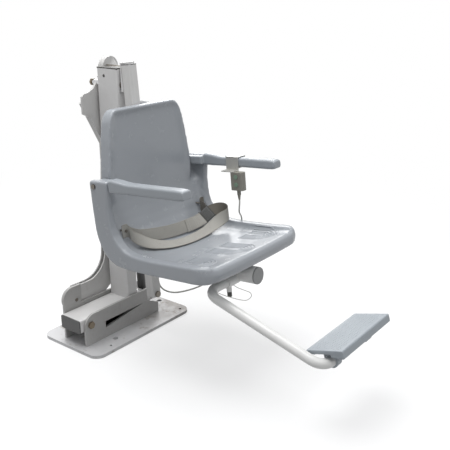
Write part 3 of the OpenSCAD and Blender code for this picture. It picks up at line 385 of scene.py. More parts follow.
# one finish: its colour drifts and stains, its edges are rubbed and its grain stands up a little
def makeFinish(name, colour, stain, rub, roughness=0.45, roughDrift=0.12, metallic=0.0,
               drift=0.08, stains=0.15, scale=6.0, rubReach=0.5, grain=700.0, waves=30.0,
               relief=0.1, depth=0.0004, stretch=(1, 1, 1), coat=0.0, coatRoughness=0.1):
    material, tree, shader = newMaterial(name)
    place = objectPlace(tree)
    drawn = addNode(tree, "ShaderNodeMapping", [("Vector", place)], Scale=stretch).outputs[0]
    tone = placeGroup(tree, toneGroup, drawn, Colour=shade(*colour), Stain=shade(*stain),
                      Drift=drift, Stains=stains, Scale=scale)
    fine = placeGroup(tree, grainGroup, drawn, Size=grain, Waves=waves)
    worn = placeGroup(tree, edgeGroup, place, Reach=rubReach)
    coloured = addBlend(tree, worn.outputs["Mask"], tone.outputs["Colour"], shade(*rub))
    tree.links.new(coloured, shader.inputs["Base Color"])
    rough = addMath(tree, "MULTIPLY", addMath(tree, "SUBTRACT", tone.outputs["Mask"], 0.5),
                    2 * roughDrift)
    tree.links.new(addMath(tree, "ADD", rough, roughness, True), shader.inputs["Roughness"])
    bump = addNode(tree, "ShaderNodeBump", [("Height", fine.outputs["Height"])],
                   Strength=relief, Distance=depth)
    tree.links.new(bump.outputs[0], shader.inputs["Normal"])
    shader.inputs["Metallic"].default_value = metallic
    shader.inputs["Coat Weight"].default_value = coat
    shader.inputs["Coat Roughness"].default_value = coatRoughness
    return material


finishes = dict(
    platePaint=dict(colour=(188, 188, 189), stain=(136, 130, 122), rub=(220, 220, 222),
                    roughness=0.46, roughDrift=0.25, metallic=0.1, drift=0.30, stains=2.0,
                    scale=4.0, rubReach=0.2, relief=0.15),
    cheekPaint=dict(colour=(158, 157, 155), stain=(118, 106, 96), rub=(200, 200, 200),
                    roughness=0.36, drift=0.12, stains=0.35, scale=9.0),
    armPaint=dict(colour=(204, 203, 202), stain=(160, 156, 148), rub=(226, 226, 226),
                  roughness=0.34, stains=0.25, scale=5.0, coat=0.15),
    hangerPaint=dict(colour=(202, 201, 199), stain=(150, 147, 142), rub=(216, 216, 216),
                     roughness=0.34, drift=0.12, stains=0.30, scale=9.0, stretch=(9, 9, 0.5),
                     waves=20.0, relief=0.14, coat=0.15),
    linkPaint=dict(colour=(192, 191, 189), stain=(138, 132, 124), rub=(210, 210, 210),
                   roughness=0.40, drift=0.07, stains=0.22, coat=0.1),
    tubePaint=dict(colour=(214, 214, 212), stain=(170, 166, 160), rub=(235, 235, 235),
                   roughness=0.32, drift=0.05, scale=7.0, coat=0.2),
    bushBronze=dict(colour=(104, 94, 82), stain=(66, 56, 46), rub=(158, 146, 124),
                    roughness=0.42, metallic=0.8, drift=0.2, stains=0.5, scale=40.0),
    turnedSteel=dict(colour=(188, 188, 190), stain=(120, 116, 110), rub=(225, 225, 225),
                     roughness=0.22, metallic=1.0, stains=0.3, scale=25.0),
    boltSteel=dict(colour=(104, 98, 90), stain=(72, 58, 46), rub=(160, 156, 150), roughness=0.42,
                   metallic=0.85, drift=0.2, stains=0.5, scale=60.0),
    capPlastic=dict(colour=(74, 74, 74), stain=(56, 54, 52), rub=(108, 108, 106), roughness=0.5,
                    stains=0.3, scale=20.0),
    tubeCap=dict(colour=(134, 135, 135), stain=(108, 106, 102), rub=(160, 160, 160), stains=0.2,
                 scale=20.0),
    restRubber=dict(colour=(58, 58, 58), stain=(84, 80, 74), rub=(90, 90, 88), roughness=0.7,
                    drift=0.1, stains=0.4, scale=20.0),
    seatPlastic=dict(colour=(149, 153, 158), stain=(137, 141, 146), rub=(170, 175, 181),
                     roughness=0.26, roughDrift=0.06, drift=0.035, stains=0.12, scale=5.0,
                     grain=1100.0, relief=0.05, rubReach=0.25),
    armrestPlastic=dict(colour=(148, 153, 158), stain=(138, 143, 148), rub=(186, 191, 196),
                        roughness=0.36, drift=0.035, scale=9.0, grain=1100.0, waves=60.0,
                        relief=0.12, rubReach=0.3),
    padPlastic=dict(colour=(146, 153, 159), stain=(122, 128, 132), rub=(184, 190, 196),
                    roughness=0.42, drift=0.05, stains=0.25, scale=12.0, grain=900.0,
                    waves=140.0, relief=0.25),
    boxPlastic=dict(colour=(172, 174, 176), stain=(140, 140, 140), rub=(198, 198, 200),
                    roughness=0.42, drift=0.05, scale=9.0),
    packPlastic=dict(colour=(196, 197, 198), stain=(160, 160, 158), rub=(214, 214, 214),
                     roughness=0.4, drift=0.04, stains=0.12, scale=9.0),
    handsetPlastic=dict(colour=(126, 124, 116), stain=(104, 100, 92), rub=(156, 154, 146),
                        roughness=0.48, drift=0.05, stains=0.25, scale=30.0, waves=200.0),
    holderSteel=dict(colour=(186, 185, 180), stain=(136, 130, 118), rub=(215, 214, 210),
                     roughness=0.34, metallic=0.55, stains=0.25, scale=40.0),
    buttonGreen=dict(colour=(112, 134, 116), stain=(86, 104, 90), rub=(140, 160, 144),
                     drift=0.05, stains=0.2, scale=60.0),
    pinBlack=dict(colour=(56, 55, 53), stain=(80, 76, 70), rub=(98, 96, 92), roughness=0.5,
                  drift=0.1, stains=0.3, scale=50.0),
    cordSheath=dict(colour=(186, 185, 179), stain=(134, 130, 122), rub=(176, 174, 168),
                    roughness=0.5, drift=0.05, stains=0.2, scale=30.0, grain=1500.0),
    bucklePlastic=dict(colour=(80, 81, 80), stain=(60, 59, 56), rub=(104, 104, 102),
                       roughness=0.42, drift=0.06, stains=0.25, scale=40.0, waves=200.0),
)
finish = {name: makeFinish(name, **values) for name, values in finishes.items()}
print("finishes made:", len(finish))

# brown water stains gather towards the plate's far end
plateStain = dict(colour=(104, 97, 90), startShare=0.34, fullShare=0.95, scale=11.0,
                  detail=5.0, patchFrom=0.34, patchTo=0.58, amount=0.85)


def stainPlate(material):
    tree = material.node_tree
    shader = tree.nodes["Principled BSDF"]
    low, high = (corner[0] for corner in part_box("base_plate"))
    place = objectPlace(tree)
    along = addNode(tree, "ShaderNodeSeparateXYZ", [("Vector", place)]).outputs["X"]
    reach = spanOf(tree, along, low + plateStain["startShare"] * (high - low),
                   low + plateStain["fullShare"] * (high - low))
    patches = spanOf(tree, noiseAt(tree, place, plateStain["scale"], plateStain["detail"]),
                     plateStain["patchFrom"], plateStain["patchTo"])
    amount = addMath(tree, "MULTIPLY", addMath(tree, "MULTIPLY", reach, patches),
                     plateStain["amount"])
    clean = shader.inputs["Base Color"].links[0].from_socket
    tree.links.new(addBlend(tree, amount, clean, shade(*plateStain["colour"])),
                   shader.inputs["Base Color"])


stainPlate(finish["platePaint"])

# the nodes of each finish, of which many are replaced by a finer piece below
finishNodes = dict(
    platePaint=["base_plate"],
    cheekPaint=["near_cheek", "rear_cheek"],
    restRubber=["beam_rest"],
    turnedSteel=["lift_pivot_shaft", "actuator_rod", "hanger_shaft"],
    bushBronze=["lift_pivot_nuts", "lift_bush", "mast_bush", "hanger_shaft_nut"],
    boltSteel=["link_pivot_pin", "actuator_pin", "link_top_pin", "hanger_bolt", "seat_rails",
               "armrest_pins", "belt_anchors"],
    armPaint=["arm_beam", "arm_mast", "hanger_tube", "pivot_bracket"],
    capPlastic=["beam_end_cap", "actuator_body", "hanger_cap", "cord_gland"],
    linkPaint=["link_plates", "link_tube", "link_head_plate", "link_head_boss",
               "actuator_bracket"],
    tubePaint=["seat_tube", "footrest_socket", "footrest_tube"],
    tubeCap=["seat_tube_cap"],
    seatPlastic=["seat_shell"],
    armrestPlastic=["armrest_right", "armrest_left", "right_knuckle", "left_knuckle"],
    holderSteel=["handset_holder"],
    handsetPlastic=["handset"],
    buttonGreen=["button_up", "button_down"],
    boxPlastic=["control_box"],
    packPlastic=["battery_pack"],
    pinBlack=["pull_pin"],
    padPlastic=["foot_pad", "foot_pad_clamps"],
    cordSheath=["belt_right", "belt_front", "belt_left", "handset_cord", "pin_lanyard"],
    bucklePlastic=["belt_buckle"],
)
for look, names in finishNodes.items():
    for name in names:
        cadNodes[name].data.materials.clear()
        cadNodes[name].data.materials.append(finish[look])

# the handset's cord and the pin's lanyard, on the same routes as their CAD solids
handsetCord = dict(
    radius=3.0, sides=14, steps=10,
    route=[(200, -372, 505), (200, -372, 494), (204, -366, 474), (222, -350, 450),
           (250, -332, 432), (272, -320, 414), (280, -312, 384), (268, -300, 340),
           (232, -282, 280), (182, -256, 216), (133, -228, 176), (90, -170, 152),
           (58, -122, 148), (38, -90, 168), (32, -82, 210), (32, -82, 290), (34, -82, 400),
           (44, -84, 500), (58, -84, 560), (60, -84, 586)],
    # between these the cord passes from the hanger's motion to the armrest's
    follow=[(200, -300, 494), (200, -372, 494)],
)
pinLanyard = dict(
    radius=1.2, sides=10, steps=6,
    route=[(-36, -504, 276), (-20, -510, 262), (10, -514, 243), (34, -516, 228),
           (40, -518, 216), (28, -520, 209), (0, -522, 212), (-40, -524, 230),
           (-80, -520, 252), (-108, -507, 270), (-120, -500, 279.6)],
)


def makeCords():
    radius = handsetCord["radius"] * mm
    route = [leaned(p) for p in smoothRoute(handsetCord["route"], handsetCord["steps"])]
    flex = tubePiece("handsetCord", route, radius, handsetCord["sides"])
    smoothed(flex, "round")
    flex.data.materials.append(finish["cordSheath"])
    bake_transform(flex)
    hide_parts("handset_cord")
    radius = pinLanyard["radius"] * mm
    line = [leaned(p) for p in smoothRoute(pinLanyard["route"], pinLanyard["steps"])]
    lanyard = tubePiece("pinLanyard", line, radius, pinLanyard["sides"])
    smoothed(lanyard, "round")
    finishPiece(lanyard, "cordSheath", "hanger", ["pin_lanyard"])
    print("cords made:", round(routeLength(route), 3), "m and", round(routeLength(line), 3), "m")


makeCords()

# how copies of CAD nodes are made: lengths in mm, angles in degrees
copying = dict(merge=0.02, flatAngle=0.6, edgeAngle=35, normalWeight=90, smoothing=0.5)


# the nodes as one merged surface
def mergedCopy(name, nodes):
    parts = []
    for node in nodes:
        part = bpy.data.objects.new(name, cadNodes[node].data.copy())
        scene.collection.objects.link(part)
        part.matrix_world = cadNodes[node].matrix_world
        parts.append(part)
    piece = joined(name, parts)
    bpy.ops.mesh.customdata_custom_splitnormals_clear()
    bpy.ops.object.mode_set(mode="EDIT")
    bpy.ops.mesh.select_all(action="SELECT")
    bpy.ops.mesh.remove_doubles(threshold=copying["merge"] * mm)
    bpy.ops.mesh.normals_make_consistent(inside=False)
    bpy.ops.object.mode_set(mode="OBJECT")
    return piece


# a hard piece with small rounded edges that catch the light
def edgedCopy(name, nodes, width, segments=2):
    piece = mergedCopy(name, nodes)
    bpy.ops.object.mode_set(mode="EDIT")
    bpy.ops.mesh.select_all(action="SELECT")
    bpy.ops.mesh.dissolve_limited(angle_limit=math.radians(copying["flatAngle"]))
    bpy.ops.object.mode_set(mode="OBJECT")
    addModifier(piece, "BEVEL", width=width * mm, segments=segments, limit_method="ANGLE",
                angle_limit=math.radians(copying["edgeAngle"]), use_clamp_overlap=True,
                miter_outer="MITER_ARC")
    applyModifiers(piece)
    smoothed(piece)
    addModifier(piece, "WEIGHTED_NORMAL", keep_sharp=True, weight=copying["normalWeight"])
    applyModifiers(piece)
    return piece


# a moulded piece: an even skin with every edge softened
def mouldedCopy(name, nodes, grain, rounds):
    piece = mergedCopy(name, nodes)
    addModifier(piece, "REMESH", mode="VOXEL", voxel_size=grain * mm)
    addModifier(piece, "SMOOTH", factor=copying["smoothing"], iterations=rounds)
    applyModifiers(piece)
    smoothed(piece, "all")
    return piece


def surfaceOf(piece):
    tree = bmesh.new()
    tree.from_mesh(piece.data)
    found = BVHTree.FromBMesh(tree)
    tree.free()
    return found


# edged pieces: name, nodes, finish, body, slot and edge radius in mm
edgedPieces = [
    ("basePlate", ["base_plate"], "platePaint", "base", "steel_plate", 1.2),
    ("nearCheek", ["near_cheek"], "cheekPaint", "base", "cheek_steel", 1.2),
    ("rearCheek", ["rear_cheek"], "cheekPaint", "base", "cheek_steel", 1.2),
    ("liftArm", ["arm_beam"], "armPaint", "arm", "arm_paint", 2.6),
    ("liftMast", ["arm_mast"], "armPaint", "arm", "arm_paint", 1.0),
    ("beamEndCap", ["beam_end_cap"], "capPlastic", "arm", "dark_plastic", 1.6),
    ("linkPlates", ["link_plates"], "linkPaint", "link", "link_paint", 1.2),
    ("linkTube", ["link_tube"], "linkPaint", "link", "link_paint", 2.0),
    ("linkHeadPlate", ["link_head_plate"], "linkPaint", "link", "link_paint", 1.2),
    ("linkHeadBoss", ["link_head_boss"], "linkPaint", "link", "link_paint", 1.0),
    ("actuatorBracket", ["actuator_bracket"], "linkPaint", "link", "link_paint", 1.0),
    ("hangerTube", ["hanger_tube"], "hangerPaint", "hanger", "arm_paint", 2.4),
    ("hangerCap", ["hanger_cap"], "capPlastic", "hanger", "dark_plastic", 1.2),
    ("pivotBracket", ["pivot_bracket"], "armPaint", "hanger", "arm_paint", 1.2),
    ("seatTubeCap", ["seat_tube_cap"], "tubeCap", "hanger", "dark_plastic", 1.6),
    ("seatRails", ["seat_rails"], "boltSteel", "hanger", "dark_steel", 1.0),
    ("footrestSocket", ["footrest_socket"], "tubePaint", "hanger", "arm_paint", 1.2),
    ("pullPin", ["pull_pin"], "pinBlack", "pull_pin", "pin_black", 0.5),
    ("handsetHolder", ["handset_holder"], "holderSteel", "armrest_left", "bright_steel", 0.7),
    ("beamRest", ["beam_rest"], "restRubber", "base", "rubber", 1.0),
]


def makeEdgedPieces():
    for name, nodes, look, body, slot, width in edgedPieces:
        finishPiece(edgedCopy(name, nodes, width), look, body, nodes)
    print("edged pieces:", len(edgedPieces))


# moulded pieces: name, nodes, finish, body, slot, grain of the skin in mm, rounds of smoothing
mouldedPieces = [
    ("rightArmrest", ["armrest_right", "right_knuckle"], "armrestPlastic", "armrest_right",
     "seat_plastic", 2.2, 6),
    ("leftArmrest", ["armrest_left", "left_knuckle"], "armrestPlastic", "armrest_left",
     "seat_plastic", 2.2, 6),
    ("controlBox", ["control_box"], "boxPlastic", "hanger", "box_plastic", 2.6, 5),
    ("batteryPack", ["battery_pack"], "packPlastic", "battery", "box_plastic", 2.6, 5),
]


def makeMouldedPieces():
    for name, nodes, look, body, slot, grain, rounds in mouldedPieces:
        finishPiece(mouldedCopy(name, nodes, grain, rounds), look, body, nodes)
    print("moulded pieces:", len(mouldedPieces))


# seat shell with nested grip ribs on its pan
seatShell = dict(
    grain=4.0, rounds=7, ribRadius=3.0, ribSides=10, ribSunk=1.1, ribPitch=11.0, ribCount=5,
    step=5.0, fewestBends=8, fewestPoints=5, castFrom=480.0,
    groups=[dict(middle=0.0, halfWidth=58.0, rear=-414.0, front=-562.0),
            dict(middle=172.0, halfWidth=54.0, rear=-418.0, front=-534.0),
            dict(middle=-172.0, halfWidth=54.0, rear=-418.0, front=-534.0)],
)


def ribRoute(group, inset):
    half, step = group["halfWidth"] - inset, seatShell["step"]
    turnY = group["front"] + group["halfWidth"]
    straight = int((group["rear"] - turnY) / step)
    route = [(group["middle"] - half, group["rear"] - k * step) for k in range(straight)]
    bends = max(seatShell["fewestBends"], int(math.pi * half / step))
    route += [(group["middle"] - half * math.cos(math.pi * k / bends),
               turnY - half * math.sin(math.pi * k / bends)) for k in range(bends + 1)]
    return route + [(group["middle"] + half, group["rear"] - k * step)
                    for k in reversed(range(straight))]


def makeSeatShell():
    shell = mouldedCopy("seatShell", ["seat_shell"], seatShell["grain"], seatShell["rounds"])
    skin = surfaceOf(shell)
    down = (leaned((0, 0, 0)) - leaned((0, 0, 1))).normalized()
    parts = [shell]
    for group in seatShell["groups"]:
        for k in range(seatShell["ribCount"]):
            route = []
            for x, y in ribRoute(group, k * seatShell["ribPitch"]):
                hit = skin.ray_cast(leaned((x, y, seatShell["castFrom"])), down)[0]
                if hit is not None:
                    route.append(hit + down * seatShell["ribSunk"] * mm)
            if len(route) >= seatShell["fewestPoints"]:
                rib = tubePiece("gripRib", route, seatShell["ribRadius"] * mm,
                                seatShell["ribSides"])
                smoothed(rib, "all")
                parts.append(rib)
    ribs = len(parts) - 1
    shell = joined("seatShell", parts)
    finishPiece(shell, "seatPlastic", "hanger", ["seat_shell"])
    print("seat shell:", len(shell.data.polygons), "faces,", ribs, "ribs")


# lap belt: each row gives the strap's foot and how its upper edge leans
lapBelt = dict(
    width=46.0, thick=2.2, steps=6, columns=[0, 0.015, 0.06, 0.25, 0.5, 0.75, 0.94, 0.985, 1],
    edgeShare=0.35, sag=0.5, sagRun=37.0, shadedFrom=9.2,
    stitchRadius=0.5, stitchSides=6, stitchLength=3.4, stitches=11, stitchFrom=0.08,
    stitchSpan=0.84, stitchRows=(2, 4, 12, 14), stitchOffset=1.2,
    rightRows=[(-215, -187, 450, 0, 0), (-193, -187, 450, 0, 0), (-180, -192, 437, 0, 0.02),
               (-146, -206, 421, 0, 0.10), (-75, -221, 410, 0, 0.16), (-8, -234, 406, 0, 0.20),
               (60, -240, 406, -0.03, 0.30), (105, -243, 408, -0.10, 0.52),
               (135, -245.5, 412, -0.18, 0.76), (158, -249, 418, -0.22, 0.86)],
    doubledRows=[(52, -242.4, 405.4, -0.03, 0.28), (80, -244.2, 406.2, -0.06, 0.40),
                 (105, -245.6, 407.4, -0.10, 0.52), (135, -248, 411, -0.18, 0.76),
                 (157, -251, 416.8, -0.22, 0.86)],
    lapRows=[(-194, -204, 440, 0, 0.1), (-180, -224, 421, 0.1, 0.3), (-149, -252, 404, 0.8, 1.0),
             (-94, -290, 396, 1.5, 2.4), (-26, -308, 393, 0.7, 3.6),
             (40, -310, 393, 0.2, 3.8), (100, -307, 396, 0.1, 3.2),
             (140, -305, 400, 0.05, 2.0), (172, -305, 405, 0, 0.9),
             (200, -306, 412, -0.05, 0.15), (215, -304, 419, -0.06, 0.0),
             (222, -296, 427, 0, 0.04), (217, -288, 434, 0.02, 0.14), (206, -280, 438, 0, 0.34),
             (192, -272, 439, -0.10, 0.60), (180, -265, 436, -0.20, 0.80)],
    leftRows=[(215, -187, 450, 0, 0), (196, -187, 450, 0, 0), (189, -194, 443, 0, 0),
              (188, -212, 436, 0, 0.02), (187, -236, 432, -0.1, 0.3), (184, -256, 434, -0.2, 0.7)],
)


def strapPiece(name, rows):
    width, half, columns = lapBelt["width"], lapBelt["thick"] / 2, lapBelt["columns"]
    feet = smoothRoute([row[:3] for row in rows], lapBelt["steps"])
    leans = smoothRoute([(row[3], row[4], 1) for row in rows], lapBelt["steps"])
    fronts, backs, runs, run = [], [], [], 0.0
    for i, foot in enumerate(feet):
        ahead = (feet[min(i + 1, len(feet) - 1)] - feet[max(i - 1, 0)]).normalized()
        rise = leans[i].normalized()
        out = ahead.cross(rise).normalized()
        if i:
            run += (feet[i] - feet[i - 1]).length
        runs.append(run)
        sag = lapBelt["sag"] * math.sin(run / lapBelt["sagRun"])
        for side, rowOf in ((1, fronts), (-1, backs)):
            rowOf.append([leaned(foot + rise * width * c
                                 + out * (side * half * (lapBelt["edgeShare"] if c in (0, 1) else 1)
                                          + sag * math.sin(math.pi * c)))
                          for c in columns])
    rings = [front + back[::-1] for front, back in zip(fronts, backs)]
    piece = loftPiece(name, rings)
    count = len(rings[0])
    layer = piece.data.uv_layers.new(name="weave")
    for polygon in piece.data.polygons:
        for index in polygon.loop_indices:
            vertex = piece.data.loops[index].vertex_index
            ring, place = divmod(vertex, count)
            across = place if place < len(columns) else count - 1 - place
            layer.data[index].uv = (runs[ring] * mm, columns[across] * width * mm)
    outward(piece)
    smoothed(piece, "strap")
    return piece, feet, leans


# flat woven strap: ribs along its length, a fine weft across and stitched edges (in metres)
webbingWeave = dict(
    warpScale=130.0, warpBend=0.6, weftScale=210.0, weftBend=0.4, threadShare=0.35,
    drift=0.10, stains=0.35, toneScale=14.0, edgeFrom=0.0195, edgeTo=0.0212, edgeShare=0.5,
    fuzzScale=420.0, fuzzRoughness=0.25, roughness=0.62, fuzzHeight=0.5,
    relief=0.35, depth=0.0006, sheen=0.15, sheenRoughness=0.5,
    # the second shade is the same webbing painted darker: painted shade for the strap faces that
    # lie in shade
    shades=[("beltWebbing", (157, 155, 149), (108, 105, 98), (122, 118, 111)),
            ("beltWebbingShaded", (98, 94, 86), (70, 66, 60), (76, 72, 66))],
)


def makeWebbing(name, colour, dark, edge):
    weave = webbingWeave
    material, tree, shader = newMaterial(name)
    uv = addNode(tree, "ShaderNodeUVMap", uv_map="weave").outputs[0]
    place = objectPlace(tree)
    warp, weft = (addNode(tree, "ShaderNodeTexWave", [("Vector", uv)], bands_direction=way,
                          Scale=weave[scale], Distortion=weave[bend], Detail=1.0).outputs["Fac"]
                  for way, scale, bend in (("Y", "warpScale", "warpBend"),
                                           ("DIAGONAL", "weftScale", "weftBend")))
    woven = addMath(tree, "MULTIPLY", warp, weft)
    tone = placeGroup(tree, toneGroup, place, Colour=shade(*colour), Stain=shade(*dark),
                      Drift=weave["drift"], Stains=weave["stains"], Scale=weave["toneScale"])
    threads = addBlend(tree, addMath(tree, "MULTIPLY", woven, weave["threadShare"]),
                       tone.outputs["Colour"], shade(*dark))
    acrossUv = addNode(tree, "ShaderNodeSeparateXYZ", [("Vector", uv)]).outputs["Y"]
    fromMiddle = addMath(tree, "ABSOLUTE", addMath(tree, "SUBTRACT", acrossUv,
                                                  lapBelt["width"] * mm / 2))
    band = spanOf(tree, fromMiddle, weave["edgeFrom"], weave["edgeTo"])
    tree.links.new(addBlend(tree, addMath(tree, "MULTIPLY", band, weave["edgeShare"]), threads,
                            shade(*edge)), shader.inputs["Base Color"])
    fuzz = noiseAt(tree, place, weave["fuzzScale"])
    rough = addMath(tree, "MULTIPLY", fuzz, weave["fuzzRoughness"])
    tree.links.new(addMath(tree, "ADD", rough, weave["roughness"]), shader.inputs["Roughness"])
    height = addMath(tree, "ADD", woven, addMath(tree, "MULTIPLY", fuzz, weave["fuzzHeight"]))
    bump = addNode(tree, "ShaderNodeBump", [("Height", height)], Strength=weave["relief"],
                   Distance=weave["depth"])
    tree.links.new(bump.outputs[0], shader.inputs["Normal"])
    shader.inputs["Sheen Weight"].default_value = weave["sheen"]
    shader.inputs["Sheen Roughness"].default_value = weave["sheenRoughness"]
    return material


def stitchLine(feet, leans, index, offset):
    parts = []
    ahead = (feet[index + 1] - feet[index - 1]).normalized()
    rise = leans[index].normalized()
    out = ahead.cross(rise).normalized()
    step = rise * lapBelt["stitchLength"] / 2
    for k in range(lapBelt["stitches"]):
        share = lapBelt["stitchFrom"] + lapBelt["stitchSpan"] * k / (lapBelt["stitches"] - 1)
        middle = feet[index] + rise * (lapBelt["width"] * share) + out * offset
        parts.append(tubePiece("beltStitch", [leaned(middle - step), leaned(middle),
                                              leaned(middle + step)],
                               lapBelt["stitchRadius"] * mm, lapBelt["stitchSides"]))
    return parts


def makeLapBelt():
    webbing, shadedWebbing = (makeWebbing(*shades) for shades in webbingWeave["shades"])
    right, rightFeet, _ = strapPiece("rightStrap", lapBelt["rightRows"])
    doubled, feet, leans = strapPiece("doubledWebbing", lapBelt["doubledRows"])
    stitches = []
    for index in lapBelt["stitchRows"]:
        for side in (1, -1):
            stitches += stitchLine(feet, leans, index, side * lapBelt["stitchOffset"])
    threads = joined("beltStitches", stitches)
    finishPiece(threads, "cordSheath", "hanger")
    for strap in (right, doubled):
        strap.data.materials.append(webbing)
    lap, lapFeet, _ = strapPiece("lapStrap", lapBelt["lapRows"])
    lap.data.materials.append(webbing)
    lap.data.materials.append(shadedWebbing)
    # the loop's inner side, the second half of each ring, faces the seat and, past the first rows,
    # takes the darker copy of the webbing: painted shade
    half = len(lapBelt["columns"])
    for polygon in lap.data.polygons:
        ring = min(v // (2 * half) for v in polygon.vertices)
        side = sum(1 if v % (2 * half) < half else -1 for v in polygon.vertices)
        if ring > lapBelt["shadedFrom"] * lapBelt["steps"] and side < 0:
            polygon.material_index = 1
    left, leftFeet, _ = strapPiece("leftStrap", lapBelt["leftRows"])
    # the left strap is seen from its seat side, so all of it takes the darker copy of the webbing:
    # painted shade
    left.data.materials.append(shadedWebbing)
    for piece, node in ((right, "belt_right"), (lap, "belt_front"), (left, "belt_left")):
        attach(piece, "hanger")
        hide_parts(node)
    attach(doubled, "hanger")
    for piece, feet, held, restsOn, onIt in (
            (right, rightFeet, "hung", ["belt_anchors"], [doubled, threads]),
            (lap, lapFeet, "laid", ["seatShell"], []),
            (left, leftFeet, "hung", ["belt_anchors"], [])):
        print(piece.name, "is", round(routeLength(feet)), "mm long")


# buckle: a ribbed housing with a dark bar at each end, laid along the strap
beltBuckle = dict(
    foot=(158.0, -249.0, 416.5), along=(0.64, -0.49, 0.60), rise=(-0.167, 0.64, 0.747),
    length=37.0, height=47.0, thick=11.0, round=2.2, roundSteps=3, ribs=8, ribRadius=1.0,
    ribSides=8, margin=5.0, barRadius=1.9, barSides=12, barOver=1.6, barGap=1.0, barInset=1.5,
)


# a spot on the buckle, in mm along the strap, up and out from its foot
def buckleSpot(along, rise, out):
    foot, a = Vector(beltBuckle["foot"]), Vector(beltBuckle["along"]).normalized()
    r = Vector(beltBuckle["rise"])
    r = (r - a * r.dot(a)).normalized()
    return leaned(foot + a * along + r * rise + a.cross(r) * out)


def makeBeltBuckle():
    size = beltBuckle
    half = size["thick"] / 2
    deselectAll()
    bpy.ops.mesh.primitive_cube_add(size=1)
    housing = bpy.context.object
    for vertex in housing.data.vertices:
        vertex.co = ((vertex.co.x + 0.5) * size["length"], (vertex.co.y + 0.5) * size["height"],
                     vertex.co.z * size["thick"])
    bevelled(housing, size["round"], size["roundSteps"])
    for vertex in housing.data.vertices:
        vertex.co = buckleSpot(*vertex.co)
    outward(housing)
    smoothed(housing, "housing")
    parts = [housing]
    for k in range(size["ribs"]):
        along = size["margin"] + (size["length"] - 2 * size["margin"]) * k / (size["ribs"] - 1)
        for side in (-1, 1):
            rib = tubePiece("buckleRib", [buckleSpot(along, rise, side * half) for rise in
                                          (size["margin"], size["height"] / 2,
                                           size["height"] - size["margin"])],
                            size["ribRadius"] * mm, size["ribSides"])
            smoothed(rib, "round")
            parts.append(rib)
    finishPiece(joined("beltBuckle", parts), "bucklePlastic", "hanger",
                ["belt_buckle"])
    bars = []
    rises = [-size["barOver"], size["height"] / 2, size["height"] + size["barOver"]]
    deep = half - size["barInset"]
    for along in (-size["barGap"], size["length"] + size["barGap"]):
        loop = [(along, rise, deep) for rise in rises]
        loop += [(along, rise, -deep) for rise in reversed(rises)]
        for first, second in zip(loop, loop[1:] + loop[:1]):
            ends = [buckleSpot(*first), buckleSpot(*second)]
            bar = tubePiece("buckleBar", [ends[0], ends[0].lerp(ends[1], 0.5), ends[1]],
                            size["barRadius"] * mm, size["barSides"])
            smoothed(bar, "round")
            bars.append(bar)
    finishPiece(joined("buckleBars", bars), "pinBlack", "hanger")
    print("buckle made")


# handset: a case with rounded edges, and a ringed, tapered relief where its cord leaves
handsetCase = dict(edge=2.2, segments=4, reliefTop=(200, -372, 523), reliefLow=(200, -372, 503),
                   wide=6.2, narrow=3.4, grooves=7, grooveDepth=0.45, grooveSteps=4, sides=20)


def makeHandset():
    size = handsetCase
    case = edgedCopy("handsetCase", ["handset"], size["edge"], size["segments"])
    finishPiece(case, "handsetPlastic", "armrest_left", ["handset"])
    top, low = Vector(size["reliefTop"]), Vector(size["reliefLow"])
    rings, steps = [], size["grooves"] * size["grooveSteps"]
    for i in range(steps + 1):
        t = i / steps
        radius = size["wide"] + (size["narrow"] - size["wide"]) * t
        if i % size["grooveSteps"] == size["grooveSteps"] // 2:
            radius -= size["grooveDepth"]
        middle = top.lerp(low, t)
        rings.append([leaned(middle + Vector((radius * math.cos(a), radius * math.sin(a), 0)))
                      for a in (math.tau * k / size["sides"] for k in range(size["sides"]))])
    relief = loftPiece("cordRelief", rings)
    outward(relief)
    smoothed(relief, "round")
    finishPiece(relief, "handsetPlastic", "armrest_left")
    print("handset made")


# foot pad: softened edges and rows of small grip studs over its top
footPad = dict(
    grain=2.0, rounds=5, pitch=9.0, inset=11.0, castFrom=20.0, facing=0.985,
    edgeShare=0.7, edgeFacing=0.97, topDepth=0.3, studRadius=2.2, studSides=10,
    # each stud's rings, as a height in mm and a share of its radius
    studRings=[(-0.8, 1.1), (0.0, 1.0), (0.63, 0.8), (0.9, 0.45)],
)


